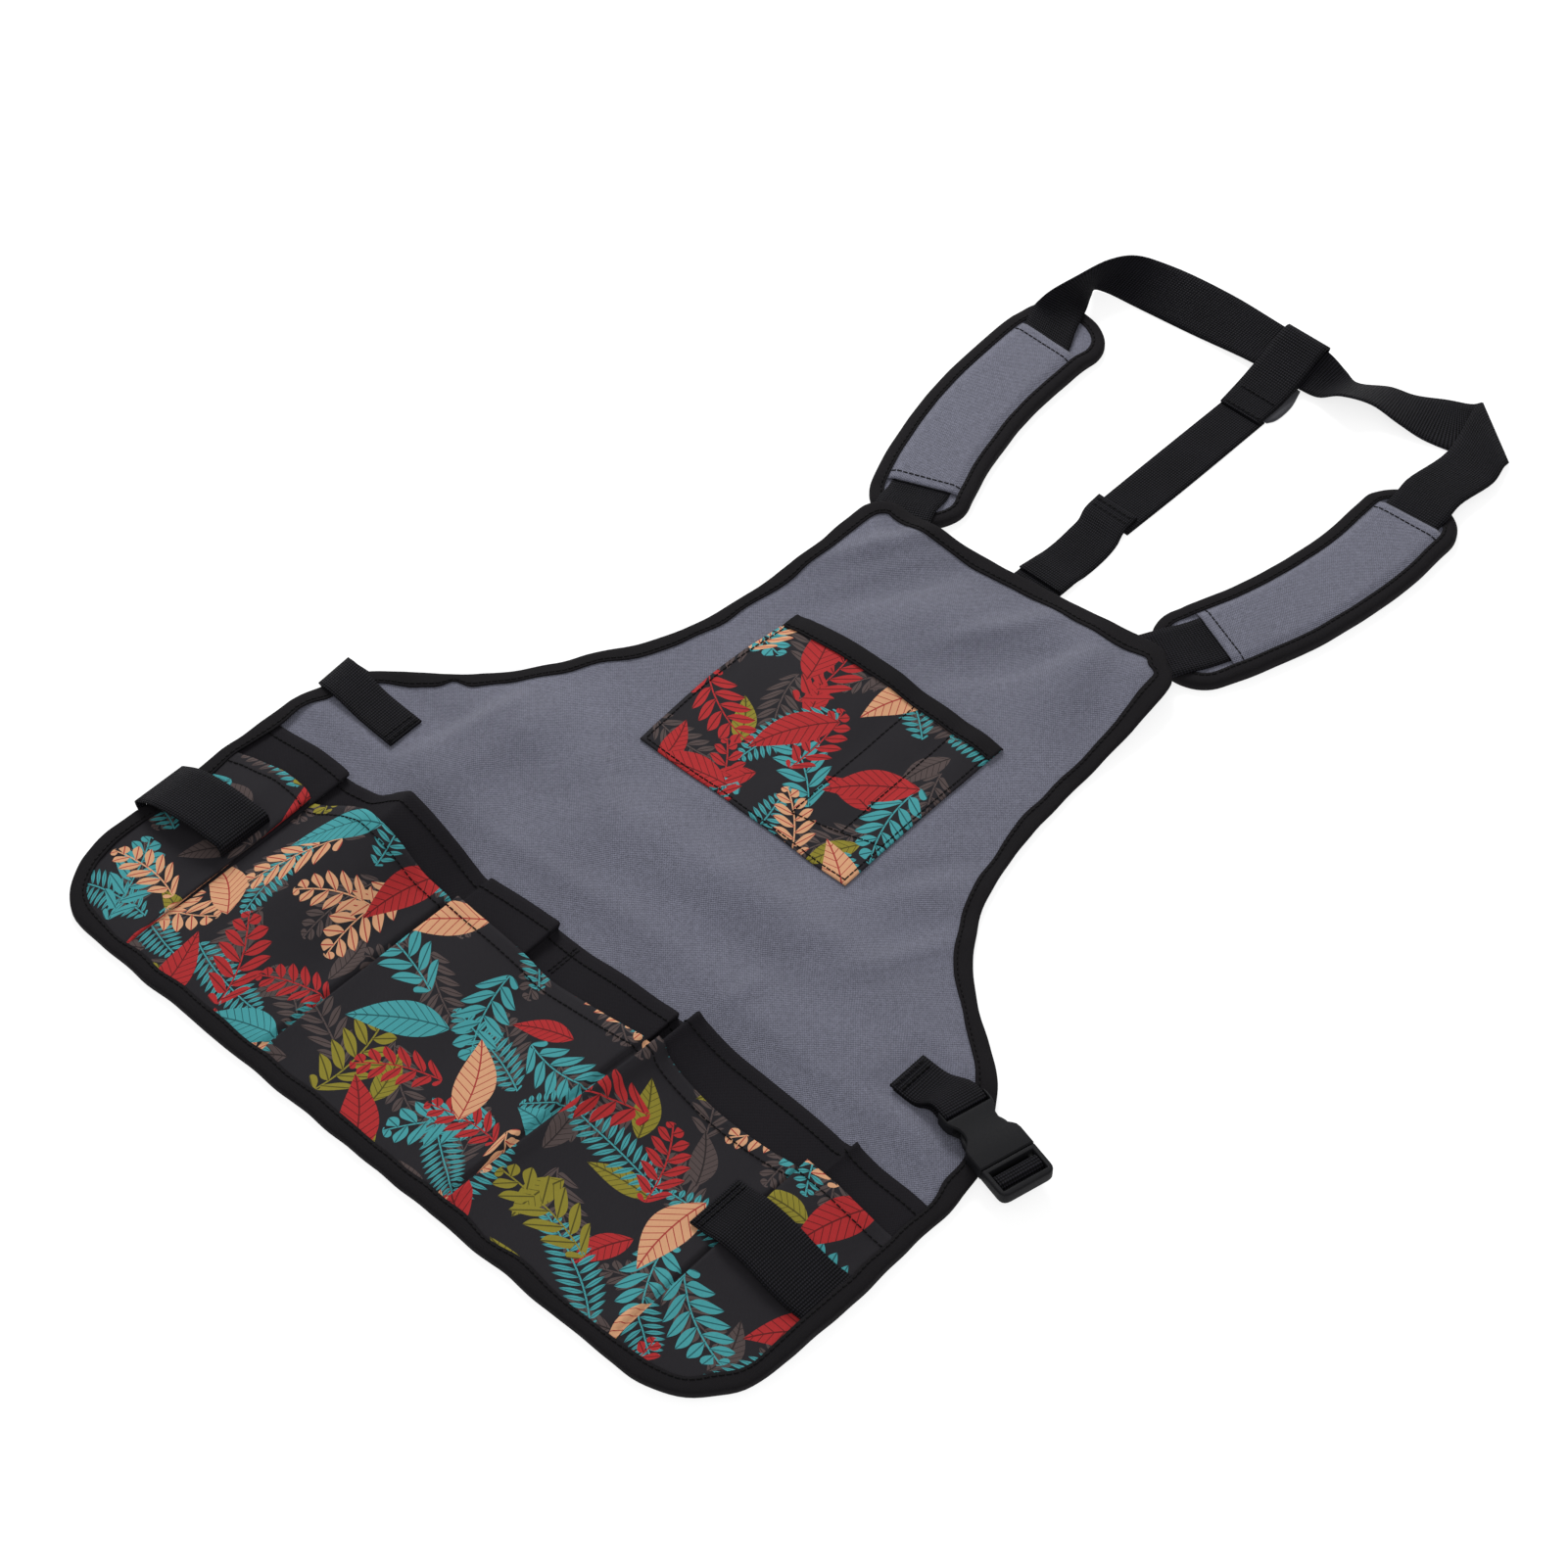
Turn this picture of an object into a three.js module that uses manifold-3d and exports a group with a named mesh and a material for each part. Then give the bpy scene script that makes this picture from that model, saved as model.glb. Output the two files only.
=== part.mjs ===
// A tool apron lying flat: a grey bib panel with bound edges, two rows of skirt pockets, a chest
// pocket, tool loops, a waist belt with a closed side-release buckle, and padded shoulder straps.
// Millimetres. X runs across the apron, Y from the hem up to the straps, and Z up from the surface.
import * as THREE from 'three';
import { mergeVertices } from 'three/addons/utils/BufferGeometryUtils.js';
import Module from 'manifold-3d';

const wasm = await Module();
wasm.setup();

// Driving sizes of the cloth and webbing.
const PANEL_THICK = 1.2;
const CLOTH_THICK = 1.0;
const TAPE_THICK = 1.0;
const WEB_THICK = 1.4;
const GAP = 0.4;
const REST = TAPE_THICK + GAP; // height of the panel's underside where only the tape is below it
const WEB_STEP = WEB_THICK + GAP; // one webbing layer with its gap
const LOW = WEB_THICK / 2 + 0.1; // middle of a webbing that lies on the surface
const SECOND = LOW + WEB_STEP; // middle of a webbing that lies on another

// Driving sizes of the panel's outline.
const SKIRT_HALF = 290;
const HEM_RADIUS = 62;
const BIB_HALF = 129;
const BIB_TOP = 619;
const BIB_CORNER = 26;
const BIB_TILT = 0.065; // the right end of the bib's top edge lies higher up than the left
const TAPE_WIDTH = 11;
const TAPE_INSET = TAPE_THICK + GAP; // the panel's edge lies this far inside the tape's outer face
const LAYER_INSET = TAPE_INSET + 1; // pocket rows and pad bases end a little further in
const LAYER_GAP = 0.6; // gap under the front pocket row and the chest pocket

// Where the panel is lifted: straps under it and the pad ends under the bib's top corners.
const LIFT_RAMP = 42;
const UNDER_STRAPS = [
  { name: 'belt', left: -300, right: 300, low: 242, high: 284 },
  { name: 'centre strap', left: -20, right: 22, low: 244, high: 660 },
];
const CORNER_LIFT = { height: 9.8, xFrom: 8, xTo: 86, yFrom: 505, yTo: 606 };

// The panel's main folds: soft ridges with a middle point, a direction, a reach and a height.
const FOLDS = [
  { x: -21, y: 552, degrees: 58, reach: 48, width: 22, height: 5.0 },
  { x: -158, y: 290, degrees: 80, reach: 42, width: 22, height: 5.5 },
  { x: -108, y: 316, degrees: -48, reach: 36, width: 22, height: 3.5 },
  { x: 42, y: 302, degrees: 6, reach: 92, width: 22, height: 4.0 },
  { x: 118, y: 372, degrees: 62, reach: 34, width: 20, height: 3.5 },
];

// Skirt pockets. Each rises from its left seam to a crest and falls to its right seam.
const POCKET_SIDE = 276;
const BACK_TOP = 198;
const FRONT_TOP = 166;
const POCKET_FULLNESS = 1.3; // how fast a bulge grows from the hem to the mouth
const BACK_POCKETS = [
  { left: -POCKET_SIDE, crest: -242, right: -212, rise: 7 },
  { left: -212, crest: -163, right: -91, rise: 22 },
  { left: -91, crest: -36, right: -8, rise: 8 },
  { left: -8, crest: 40, right: 70, rise: 8 },
  { left: 70, crest: 91, right: 204, rise: 20 },
  { left: 204, crest: 222, right: POCKET_SIDE, rise: 9 },
];
const FRONT_POCKETS = [
  { left: -POCKET_SIDE, crest: -242, right: -212, rise: 8 },
  { left: -212, crest: -163, right: -91, rise: 9 },
  { left: -91, crest: -8, right: 70, rise: 9 },
  { left: 70, crest: 91, right: 204, rise: 9 },
  { left: 204, crest: 222, right: POCKET_SIDE, rise: 7.4 },
];
const POCKET_LINES = [LAYER_INSET, 6, 15, 32, 58, 86, 122, FRONT_TOP]; // lines across both rows

// Chest pocket: one wide pocket and two pen slots.
const CHEST = { left: -95, right: 86, low: 341, top: 496 };
const CHEST_POCKETS = [
  { left: -92, crest: -34, right: 21, rise: 7 },
  { left: 21, crest: 37, right: 54, rise: 8 },
  { left: 54, crest: 69, right: 83, rise: 8 },
];
const CHEST_ROWS = [0, 0.2, 0.4, 0.6, 0.8, 0.92, 1];
const CHEST_TAPE = 13;

// Shoulder pads: arcs of one radius, with the right pad laid a little higher than the left.
const PAD_RADIUS = 390;
const PAD_LENGTH = 246;
const PAD_WIDTH = 72;
const PAD_CORNER = 30;
const PAD_START = THREE.MathUtils.degToRad(-28);
const PAD_TOP = 6;
const PAD_TAPE = 8;
const SLEEVE_WIDTH = 53;
const SLEEVE_SLOPE = 6;
const STRAP_WIDTH = 40;
const STRAP_IN_SLEEVE = PAD_TOP + GAP + WEB_THICK / 2;
const STRAP_ON_TAPE = PAD_TOP + 2 * GAP + TAPE_THICK + WEB_THICK / 2;
const PADS = {
  left: { side: -1, edge: 141, level: 787, sleeveFrom: 34, sleeveTo: 206 },
  right: { side: 1, edge: 151, level: 805, sleeveFrom: 42, sleeveTo: 221 },
};

// The closed buckle, in its own frame: X from the socket's bar to the plug's far end.
const BUCKLE = { x: 249, y: 262, turn: THREE.MathUtils.degToRad(-14), base: 7.4, height: 10 };
const BUCKLE_WEB = 30;
const BUCKLE_SLOT = BUCKLE_WEB / 2 + 0.7;
const SOCKET = { length: 48, end: 17, waist: 12.5, mouth: 19, bar: 4.5, slotEnd: 9, cavityFrom: 14, cavityHalf: 17 };
const PLUG = { from: 48.4, to: 71, half: 19, slotA: [51.5, 56], slotB: [62.5, 67], tip: 17 };

const GREY = { color: 0x66666f, roughness: 0.9, metalness: 0 };
const BLACK_TAPE = { color: 0x252326, roughness: 0.85, metalness: 0 };
const BLACK_CLOTH = { color: 0x262428, roughness: 0.92, metalness: 0 };
const PRINT = { color: 0x4a4038, roughness: 0.9, metalness: 0 };
const WEBBING = { color: 0x1e1e20, roughness: 0.8, metalness: 0 };
const BUCKLE_PLASTIC = { color: 0x2a2a2d, roughness: 0.5, metalness: 0 };
const PATCH = { color: 0x3c3c42, roughness: 0.9, metalness: 0 };

const group = new THREE.Group();

// Adds one named piece to the apron.
function piece(name, geometry, finish) {
  const mesh = new THREE.Mesh(geometry, new THREE.MeshStandardMaterial(finish));
  mesh.name = name;
  group.add(mesh);
  return mesh;
}

function smooth(share) {
  const s = THREE.MathUtils.clamp(share, 0, 1);
  return s * s * (3 - 2 * s);
}

// 1 inside a span and falling smoothly to 0 over a ramp on both sides of it.
function plateau(value, from, to, ramp) {
  return smooth((value - from) / ramp + 1) * smooth((to - value) / ramp + 1);
}

// Leaves only positions on a geometry and merges its shared vertices, so that it is one closed body.
function closed(geometry) {
  geometry.deleteAttribute('normal');
  geometry.deleteAttribute('uv');
  const merged = mergeVertices(geometry, 1e-3);
  merged.computeVertexNormals();
  return merged;
}

// Moves every vertex of a geometry by a rule on its position.
function reshape(geometry, rule) {
  const at = geometry.attributes.position;
  for (let i = 0; i < at.count; i++) {
    at.setXYZ(i, ...rule(at.getX(i), at.getY(i), at.getZ(i)));
  }
  return closed(geometry);
}

// A sheet with a grid on both faces. place(u, v, side) has side 0 underneath and 1 on top.
function sheet(columns, rows, place) {
  const box = new THREE.BoxGeometry(1, 1, 1, columns, rows, 1);
  return reshape(box, (x, y, z) => place(x + 0.5, y + 0.5, z + 0.5));
}

// A closed ring: place(station, corner) runs round an outline and round a section.
function ring(stations, corners, place) {
  const torus = new THREE.TorusGeometry(2, 1, corners, stations);
  const at = torus.attributes.position;
  const uv = torus.attributes.uv;
  for (let i = 0; i < at.count; i++) {
    const station = Math.round(uv.getX(i) * stations) % stations;
    const corner = Math.round(uv.getY(i) * corners) % corners;
    at.setXYZ(i, ...place(station, corner));
  }
  return closed(torus);
}

// A webbing through rows that give its left and right edges in the direction of travel.
function ribbon(rows, stepsPerRow, columns = 1) {
  const leftEdge = new THREE.CatmullRomCurve3(rows.map((row) => new THREE.Vector3(...row.left)));
  const rightEdge = new THREE.CatmullRomCurve3(rows.map((row) => new THREE.Vector3(...row.right)));
  const steps = (rows.length - 1) * stepsPerRow;
  const across = (u, v) => leftEdge.getPoint(v).lerp(rightEdge.getPoint(v), u);
  const nudge = 0.2 / steps;
  return sheet(columns, steps, (u, v, side) => {
    const before = across(u, Math.max(v - nudge, 0));
    const after = across(u, Math.min(v + nudge, 1));
    const width = rightEdge.getPoint(v).sub(leftEdge.getPoint(v));
    const normal = width.cross(after.sub(before)).normalize();
    return across(u, v).addScaledVector(normal, (side - 0.5) * WEB_THICK).toArray();
  });
}

// Height of the panel's underside above the surface.
function lay(x, y) {
  let height = REST;
  for (const strap of UNDER_STRAPS) {
    height += WEB_STEP * plateau(x, strap.left, strap.right, LIFT_RAMP)
      * plateau(y, strap.low, strap.high, LIFT_RAMP);
  }
  const { height: lift, xFrom, xTo, yFrom, yTo } = CORNER_LIFT;
  height += lift * smooth((Math.abs(x) - xFrom) / (xTo - xFrom)) * smooth((y - yFrom) / (yTo - yFrom));
  for (const fold of FOLDS) {
    const angle = THREE.MathUtils.degToRad(fold.degrees);
    const along = (x - fold.x) * Math.cos(angle) + (y - fold.y) * Math.sin(angle);
    const aside = (y - fold.y) * Math.cos(angle) - (x - fold.x) * Math.sin(angle);
    height += fold.height * Math.exp(-((along / fold.reach) ** 2) - (aside / fold.width) ** 2);
  }
  return height;
}

// The bib's top edge slopes a little, so points near it are moved along Y.
function tilted(x, y) {
  return y + BIB_TILT * x * smooth((y - 480) / 140);
}

// Right side of the outline, from the hem's corner up to the bib's top edge.
const SIDE_STEPS = { hemCorner: 5, skirt: 5, waist: 4, slope: 3, armhole: 6, bib: 4, bibCorner: 3 };
function sideStations() {
  const side = new THREE.Path();
  side.moveTo(SKIRT_HALF - HEM_RADIUS, 0);
  side.absarc(SKIRT_HALF - HEM_RADIUS, HEM_RADIUS, HEM_RADIUS, -Math.PI / 2, 0);
  side.lineTo(SKIRT_HALF - 1, 214);
  side.bezierCurveTo(SKIRT_HALF - 3, 244, 276, 256, 258, 274);
  side.lineTo(191, 341);
  side.bezierCurveTo(158, 374, 138, 430, 134, 500);
  side.lineTo(BIB_HALF, BIB_TOP - BIB_CORNER);
  side.absarc(BIB_HALF - BIB_CORNER, BIB_TOP - BIB_CORNER, BIB_CORNER, 0, Math.PI / 2);
  const points = [side.curves[0].getPoint(0)];
  Object.values(SIDE_STEPS).forEach((steps, k) => {
    for (let i = 1; i <= steps; i++) points.push(side.curves[k].getPoint(i / steps));
  });
  const last = points.length - 1;
  return points.map((point, i) => {
    const along = points[Math.min(i + 1, last)].clone().sub(points[Math.max(i - 1, 0)]).normalize();
    if (i === 0) along.set(1, 0);
    if (i === last) along.set(-1, 0);
    return { x: point.x, y: point.y, outX: along.y, outY: -along.x };
  });
}

const PANEL_COLUMNS = 14;
const SIDE = sideStations();
const SIDE_COUNT = SIDE.length - 1;

// Body panel: each row spans the outline from side to side, just inside the tape.
piece('body_panel', sheet(PANEL_COLUMNS, SIDE_COUNT, (u, v, side) => {
  const station = SIDE[Math.round(v * SIDE_COUNT)];
  const half = station.x - station.outX * TAPE_INSET;
  const x = half * (2 * u - 1);
  const y = tilted(x, station.y - station.outY * TAPE_INSET);
  return [x, y, lay(x, y) + side * PANEL_THICK];
}), GREY);

// Height of the cloth layers in the tape's slot: panel alone, or panel with both pocket rows.
function stack(y) {
  return PANEL_THICK + (2 * CLOTH_THICK + GAP + LAYER_GAP) * (1 - smooth((y - BACK_TOP - 6) / 22));
}

// Edge tape: a folded section carried round the whole outline.
function outlineStations() {
  const step = (from, to, i) => from + ((to - from) * i) / PANEL_COLUMNS;
  const between = Array.from({ length: PANEL_COLUMNS - 1 }, (_, i) => i + 1);
  const top = SIDE[SIDE_COUNT];
  const hem = SIDE[0];
  const across = between.map((i) => ({ x: step(top.x, -top.x, i), y: top.y, outX: 0, outY: 1 }));
  const left = SIDE.map((s) => ({ x: -s.x, y: s.y, outX: -s.outX, outY: s.outY })).reverse();
  const along = between.map((i) => ({ x: step(-hem.x, hem.x, i), y: hem.y, outX: 0, outY: -1 }));
  return [...SIDE, ...across, ...left, ...along];
}

const RIGHT_LOOP_SEAT = { low: 84, high: 140 }; // the tape also covers the right tool loop's end
const EDGE_SECTION = [
  { inward: 0, lip: 'high', out: 0.6 },
  { inward: 0.8, lip: 'high', out: 1 },
  { inward: TAPE_WIDTH, lip: 'high', out: 1 },
  { inward: TAPE_WIDTH, lip: 'high', out: 0 },
  { inward: TAPE_THICK, lip: 'high', out: 0 },
  { inward: TAPE_THICK, lip: 'low', out: 0 },
  { inward: TAPE_WIDTH, lip: 'low', out: 0 },
  { inward: TAPE_WIDTH, lip: 'low', out: 1 },
  { inward: 0, lip: 'low', out: 1 },
];
const EDGE = outlineStations();
piece('edge_binding', ring(EDGE.length, EDGE_SECTION.length, (stationIndex, cornerIndex) => {
  const station = EDGE[stationIndex];
  const corner = EDGE_SECTION[cornerIndex];
  const x = station.x - station.outX * corner.inward;
  const y = tilted(x, station.y - station.outY * corner.inward);
  const overLoop = station.x > 0 && station.outX > 0.9
    ? WEB_STEP * plateau(station.y, RIGHT_LOOP_SEAT.low, RIGHT_LOOP_SEAT.high, LIFT_RAMP) : 0;
  const face = corner.lip === 'high' ? stack(y) + GAP + overLoop : -GAP;
  const sign = corner.lip === 'high' ? 1 : -1;
  return [x, y, lay(x, y) + face + sign * corner.out * TAPE_THICK];
}), BLACK_TAPE);

// Height of a bulge in a row of pockets at a point across it.
function bulge(pockets, x) {
  const pocket = pockets.find((p) => x >= p.left && x <= p.right);
  if (!pocket) return 0;
  const rising = (x - pocket.left) / (pocket.crest - pocket.left);
  const falling = (pocket.right - x) / (pocket.right - pocket.crest);
  return pocket.rise * smooth(Math.min(rising, falling));
}

// Growth of the bulges from the hem to a row's mouth.
function fullness(y, top) {
  return THREE.MathUtils.clamp((y - TAPE_WIDTH) / (top - TAPE_WIDTH), 0, 1.2) ** POCKET_FULLNESS;
}

// How much longer a vertical step is than the same step square to a slope.
function steepness(height, x, y) {
  const slope = (height(x + 1, y) - height(x - 1, y)) / 2;
  return Math.hypot(1, slope);
}

const backUnder = (x, y) =>
  lay(x, y) + PANEL_THICK + GAP + bulge(BACK_POCKETS, x) * fullness(y, BACK_TOP);
const backTop = (x, y) => backUnder(x, y) + CLOTH_THICK * steepness(backUnder, x, y);
const frontUnder = (x, y) => backTop(x, y) + LAYER_GAP * steepness(backUnder, x, y)
  + bulge(FRONT_POCKETS, x) * fullness(y, FRONT_TOP);
const frontTop = (x, y) => frontUnder(x, y) + CLOTH_THICK * steepness(frontUnder, x, y);

// Columns of both pocket rows: each pocket's seam, its rise, its crest and its fall.
function pocketColumns() {
  const sheetHalf = SKIRT_HALF - 1 - LAYER_INSET;
  const columns = [-sheetHalf];
  for (const p of BACK_POCKETS) {
    columns.push(p.left);
    for (const share of [0.3, 0.65, 1]) columns.push(p.left + share * (p.crest - p.left));
    for (const share of [0.35, 0.7]) columns.push(p.crest + share * (p.right - p.crest));
  }
  columns.push(POCKET_SIDE, sheetHalf);
  return columns;
}

// A pocket row: fixed columns, except that the outer ones follow the hem's round corners.
const COLUMNS = pocketColumns();
const CORNER_FROM = SKIRT_HALF - HEM_RADIUS - 16;
function pocketRow(lines, under, over) {
  const columns = COLUMNS.length - 1;
  const rows = lines.length - 1;
  const sheetHalf = COLUMNS[columns];
  return sheet(columns, rows, (u, v, side) => {
    const y = lines[Math.round(v * rows)];
    const rise = Math.min(y, HEM_RADIUS) - HEM_RADIUS;
    const half = SKIRT_HALF - HEM_RADIUS + Math.sqrt((HEM_RADIUS - LAYER_INSET) ** 2 - rise ** 2);
    const column = COLUMNS[Math.round(u * columns)];
    const beyond = Math.max(Math.abs(column) - CORNER_FROM, 0);
    const room = Math.min(half, sheetHalf) - CORNER_FROM;
    const x = Math.sign(column)
      * (Math.min(Math.abs(column), CORNER_FROM) + (beyond * room) / (sheetHalf - CORNER_FROM));
    return [x, y, side ? over(x, y) : under(x, y)];
  });
}
piece('back_pocket_row', pocketRow([...POCKET_LINES, BACK_TOP], backUnder, backTop), BLACK_CLOTH);
piece('front_pocket_row', pocketRow(POCKET_LINES, frontUnder, frontTop), PRINT);

// Chest pocket: lies on the bib along three sides and stands open along its mouth.
function chestColumns() {
  const columns = [CHEST.left];
  for (const p of CHEST_POCKETS) {
    columns.push(p.left, (p.left + p.crest) / 2, p.crest, (p.crest + p.right) / 2);
  }
  columns.push(CHEST_POCKETS[CHEST_POCKETS.length - 1].right, CHEST.right);
  return columns;
}
const chestUnder = (x, y) => lay(x, y) + PANEL_THICK + LAYER_GAP
  + bulge(CHEST_POCKETS, x) * ((y - CHEST.low) / (CHEST.top - CHEST.low)) ** POCKET_FULLNESS;
const CHEST_COLUMNS = chestColumns();
piece('chest_pocket', sheet(CHEST_COLUMNS.length - 1, CHEST_ROWS.length - 1, (u, v, side) => {
  const x = CHEST_COLUMNS[Math.round(u * (CHEST_COLUMNS.length - 1))];
  const y = CHEST.low + (CHEST.top - CHEST.low) * CHEST_ROWS[Math.round(v * (CHEST_ROWS.length - 1))];
  return [x, y, chestUnder(x, y) + side * CLOTH_THICK];
}), PRINT);

// Tape on the mouth: over the cloth's front and its top edge.
const tapeSection = new THREE.Shape([
  new THREE.Vector2(-CHEST_TAPE, CLOTH_THICK + GAP),
  new THREE.Vector2(GAP, CLOTH_THICK + GAP),
  new THREE.Vector2(GAP, 0),
  new THREE.Vector2(GAP + TAPE_THICK, 0),
  new THREE.Vector2(GAP + TAPE_THICK, CLOTH_THICK + GAP + TAPE_THICK),
  new THREE.Vector2(-CHEST_TAPE, CLOTH_THICK + GAP + TAPE_THICK),
]);
const tapeSteps = CHEST_COLUMNS.length - 1;
const mouthTape = new THREE.ExtrudeGeometry(tapeSection, { depth: 1, steps: tapeSteps, bevelEnabled: false });
piece('chest_pocket_tape', reshape(mouthTape, (across, up, along) => {
  const x = CHEST_COLUMNS[Math.round(along * tapeSteps)];
  const y = CHEST.top + across;
  return [x, y, chestUnder(x, Math.min(y, CHEST.top)) + up];
}), BLACK_TAPE);

// Tool loops: webbing sewn down at its inner end, arched over the outer pocket.
const LEFT_LOOP = [
  { x: -212, low: 93, high: 133, z: 6.9 },
  { x: -217, low: 93, high: 133, z: 8.4 },
  { x: -226, low: 92, high: 132, z: 16.0 },
  { x: -242, low: 91, high: 131, z: 21.8 },
  { x: -272, low: 89, high: 129, z: 18.0 },
  { x: -291, low: 88, high: 127, z: 11.8 },
  { x: -297, low: 87, high: 126, z: 7.4 },
  { x: -292.0, low: 87, high: 126, z: 4.2 },
];
const RIGHT_LOOP = [
  { x: 189, low: 95, high: 136, z: 8.4 },
  { x: 198, low: 95, high: 136, z: 8.2 },
  { x: 205, low: 94.5, high: 135.5, z: 8.8 },
  { x: 211, low: 94, high: 135, z: 13.0 },
  { x: 218, low: 93, high: 134, z: 18.4 },
  { x: 230, low: 92, high: 133, z: 22.3 },
  { x: 254, low: 90, high: 131, z: 18.5 },
  { x: 270, low: 90, high: 131, z: 10.0 },
  { x: 278, low: 91, high: 132, z: 6.8 },
  { x: 286, low: 91, high: 132, z: 6.7 },
];
const edgesAlongX = (row) => ({ left: [row.x, row.high, row.z], right: [row.x, row.low, row.z] });
piece('left_tool_loop', ribbon(LEFT_LOOP.map(edgesAlongX), 3), WEBBING);
piece('right_tool_loop', ribbon(RIGHT_LOOP.map(edgesAlongX), 2), WEBBING);

// Points in the buckle's frame, placed on the apron.
const BUCKLE_PLACE = new THREE.Matrix4().makeRotationZ(BUCKLE.turn)
  .setPosition(BUCKLE.x, BUCKLE.y, BUCKLE.base);
function onBuckle(along, across, up) {
  return new THREE.Vector3(along, across, up).applyMatrix4(BUCKLE_PLACE).toArray();
}
const buckleRow = (row) => ({
  left: onBuckle(row.along, BUCKLE_WEB / 2, row.up),
  right: onBuckle(row.along, -BUCKLE_WEB / 2, row.up),
});

// Waist belt: sewn on the left side, folded round the edge, under the panel, and over the plug's bar.
const BELT_ON_PANEL = REST + WEB_STEP + PANEL_THICK + GAP + WEB_THICK / 2;
const BELT_ON_EDGE = BELT_ON_PANEL + TAPE_THICK + GAP;
const BELT = [
  { x: -206, low: 232, high: 260, z: BELT_ON_PANEL },
  { x: -240, low: 234, high: 261, z: BELT_ON_PANEL },
  { x: -262, low: 235, high: 263, z: BELT_ON_EDGE + 0.3 },
  { x: -282, low: 237, high: 265, z: BELT_ON_EDGE + 0.2 },
  { x: -290, low: 238, high: 266, z: BELT_ON_EDGE - 1.4 },
  { x: -292, low: 239, high: 267, z: 3.9 },
  { x: -289.5, low: 239, high: 267, z: 1.9 },
  { x: -283, low: 240, high: 268, z: LOW + 0.2 },
  { x: -270, low: 240, high: 268, z: LOW },
  { x: -240, low: 242, high: 271, z: LOW },
  { x: -120, low: 244, high: 274, z: LOW },
  { x: 0, low: 246, high: 276, z: LOW },
  { x: 120, low: 248, high: 278, z: LOW },
  { x: 220, low: 250, high: 280, z: LOW },
];
const LADDER = [
  { along: 24, up: LOW - BUCKLE.base },
  { along: 38, up: LOW - BUCKLE.base },
  { along: 46, up: 1.6 - BUCKLE.base },
  { along: 52, up: -2.6 },
  { along: 54.0, up: 1.6 },
  { along: 54.3, up: 5.4 },
  { along: 56.2, up: 7.9 },
  { along: 59.2, up: 8.2 },
  { along: 62.2, up: 7.9 },
  { along: 64.1, up: 5.4 },
  { along: 64.4, up: 1.6 },
  { along: 63.8, up: -2.4 },
  { along: 60.5, up: -4.2 },
];
piece('waist_belt', ribbon([...BELT.map(edgesAlongX), ...LADDER.map(buckleRow)], 2), WEBBING);

// Buckle tab: sewn on the panel in two layers that go round the socket's bar.
const TAB_FROM = 207;
const TAB = { low: 247, high: 277 };
const tabRow = (x, z) => ({ left: [x, TAB.high, z], right: [x, TAB.low, z] });
const BAR_MIDDLE = BUCKLE.height / 2;
const BAR_HALF = 2.5;
const BAR_WRAP = BAR_HALF + GAP + WEB_THICK / 2;
piece('buckle_tab', ribbon([
  tabRow(TAB_FROM + 3, BELT_ON_PANEL),
  tabRow(TAB_FROM + 20, BELT_ON_PANEL),
  buckleRow({ along: -9, up: BAR_MIDDLE - BAR_WRAP - 0.4 }),
  buckleRow({ along: SOCKET.bar - 1.5, up: BAR_MIDDLE - BAR_WRAP - 0.2 }),
  buckleRow({ along: SOCKET.bar + 1.1, up: BAR_MIDDLE - BAR_WRAP + 0.4 }),
  buckleRow({ along: SOCKET.bar + 1.9, up: BAR_MIDDLE }),
  buckleRow({ along: SOCKET.bar + 1.1, up: BAR_MIDDLE + BAR_WRAP - 0.4 }),
  buckleRow({ along: SOCKET.bar - 1.5, up: BAR_MIDDLE + BAR_WRAP + 0.2 }),
  buckleRow({ along: -9, up: BAR_MIDDLE + BAR_WRAP - 2.4 }),
  tabRow(TAB_FROM + 20, BELT_ON_PANEL + WEB_STEP),
  tabRow(TAB_FROM, BELT_ON_PANEL + WEB_STEP),
], 3), WEBBING);

// Solid work on the buckle's halves.
function solid(geometry) {
  const body = closed(geometry);
  return new wasm.Manifold(new wasm.Mesh({
    numProp: 3,
    vertProperties: new Float32Array(body.attributes.position.array),
    triVerts: new Uint32Array(body.index.array),
  }));
}
function fromSolid(body) {
  const mesh = body.getMesh();
  const geometry = new THREE.BufferGeometry();
  geometry.setAttribute('position', new THREE.BufferAttribute(new Float32Array(mesh.vertProperties), 3));
  geometry.setIndex(new THREE.BufferAttribute(new Uint32Array(mesh.triVerts), 1));
  geometry.computeVertexNormals();
  return geometry;
}
function block(fromX, toX, half, fromZ, toZ) {
  const box = new THREE.BoxGeometry(toX - fromX, 2 * half, toZ - fromZ);
  box.translate((fromX + toX) / 2, 0, (fromZ + toZ) / 2);
  return solid(box);
}
function plate(shape, fromZ, toZ) {
  const chamfer = 0.8;
  const slab = new THREE.ExtrudeGeometry(shape, {
    depth: toZ - fromZ - 2 * chamfer,
    bevelThickness: chamfer,
    bevelSize: chamfer,
    bevelOffset: -chamfer,
    bevelSegments: 1,
    curveSegments: 5,
  });
  slab.translate(0, 0, fromZ + chamfer);
  return solid(slab);
}

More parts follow.
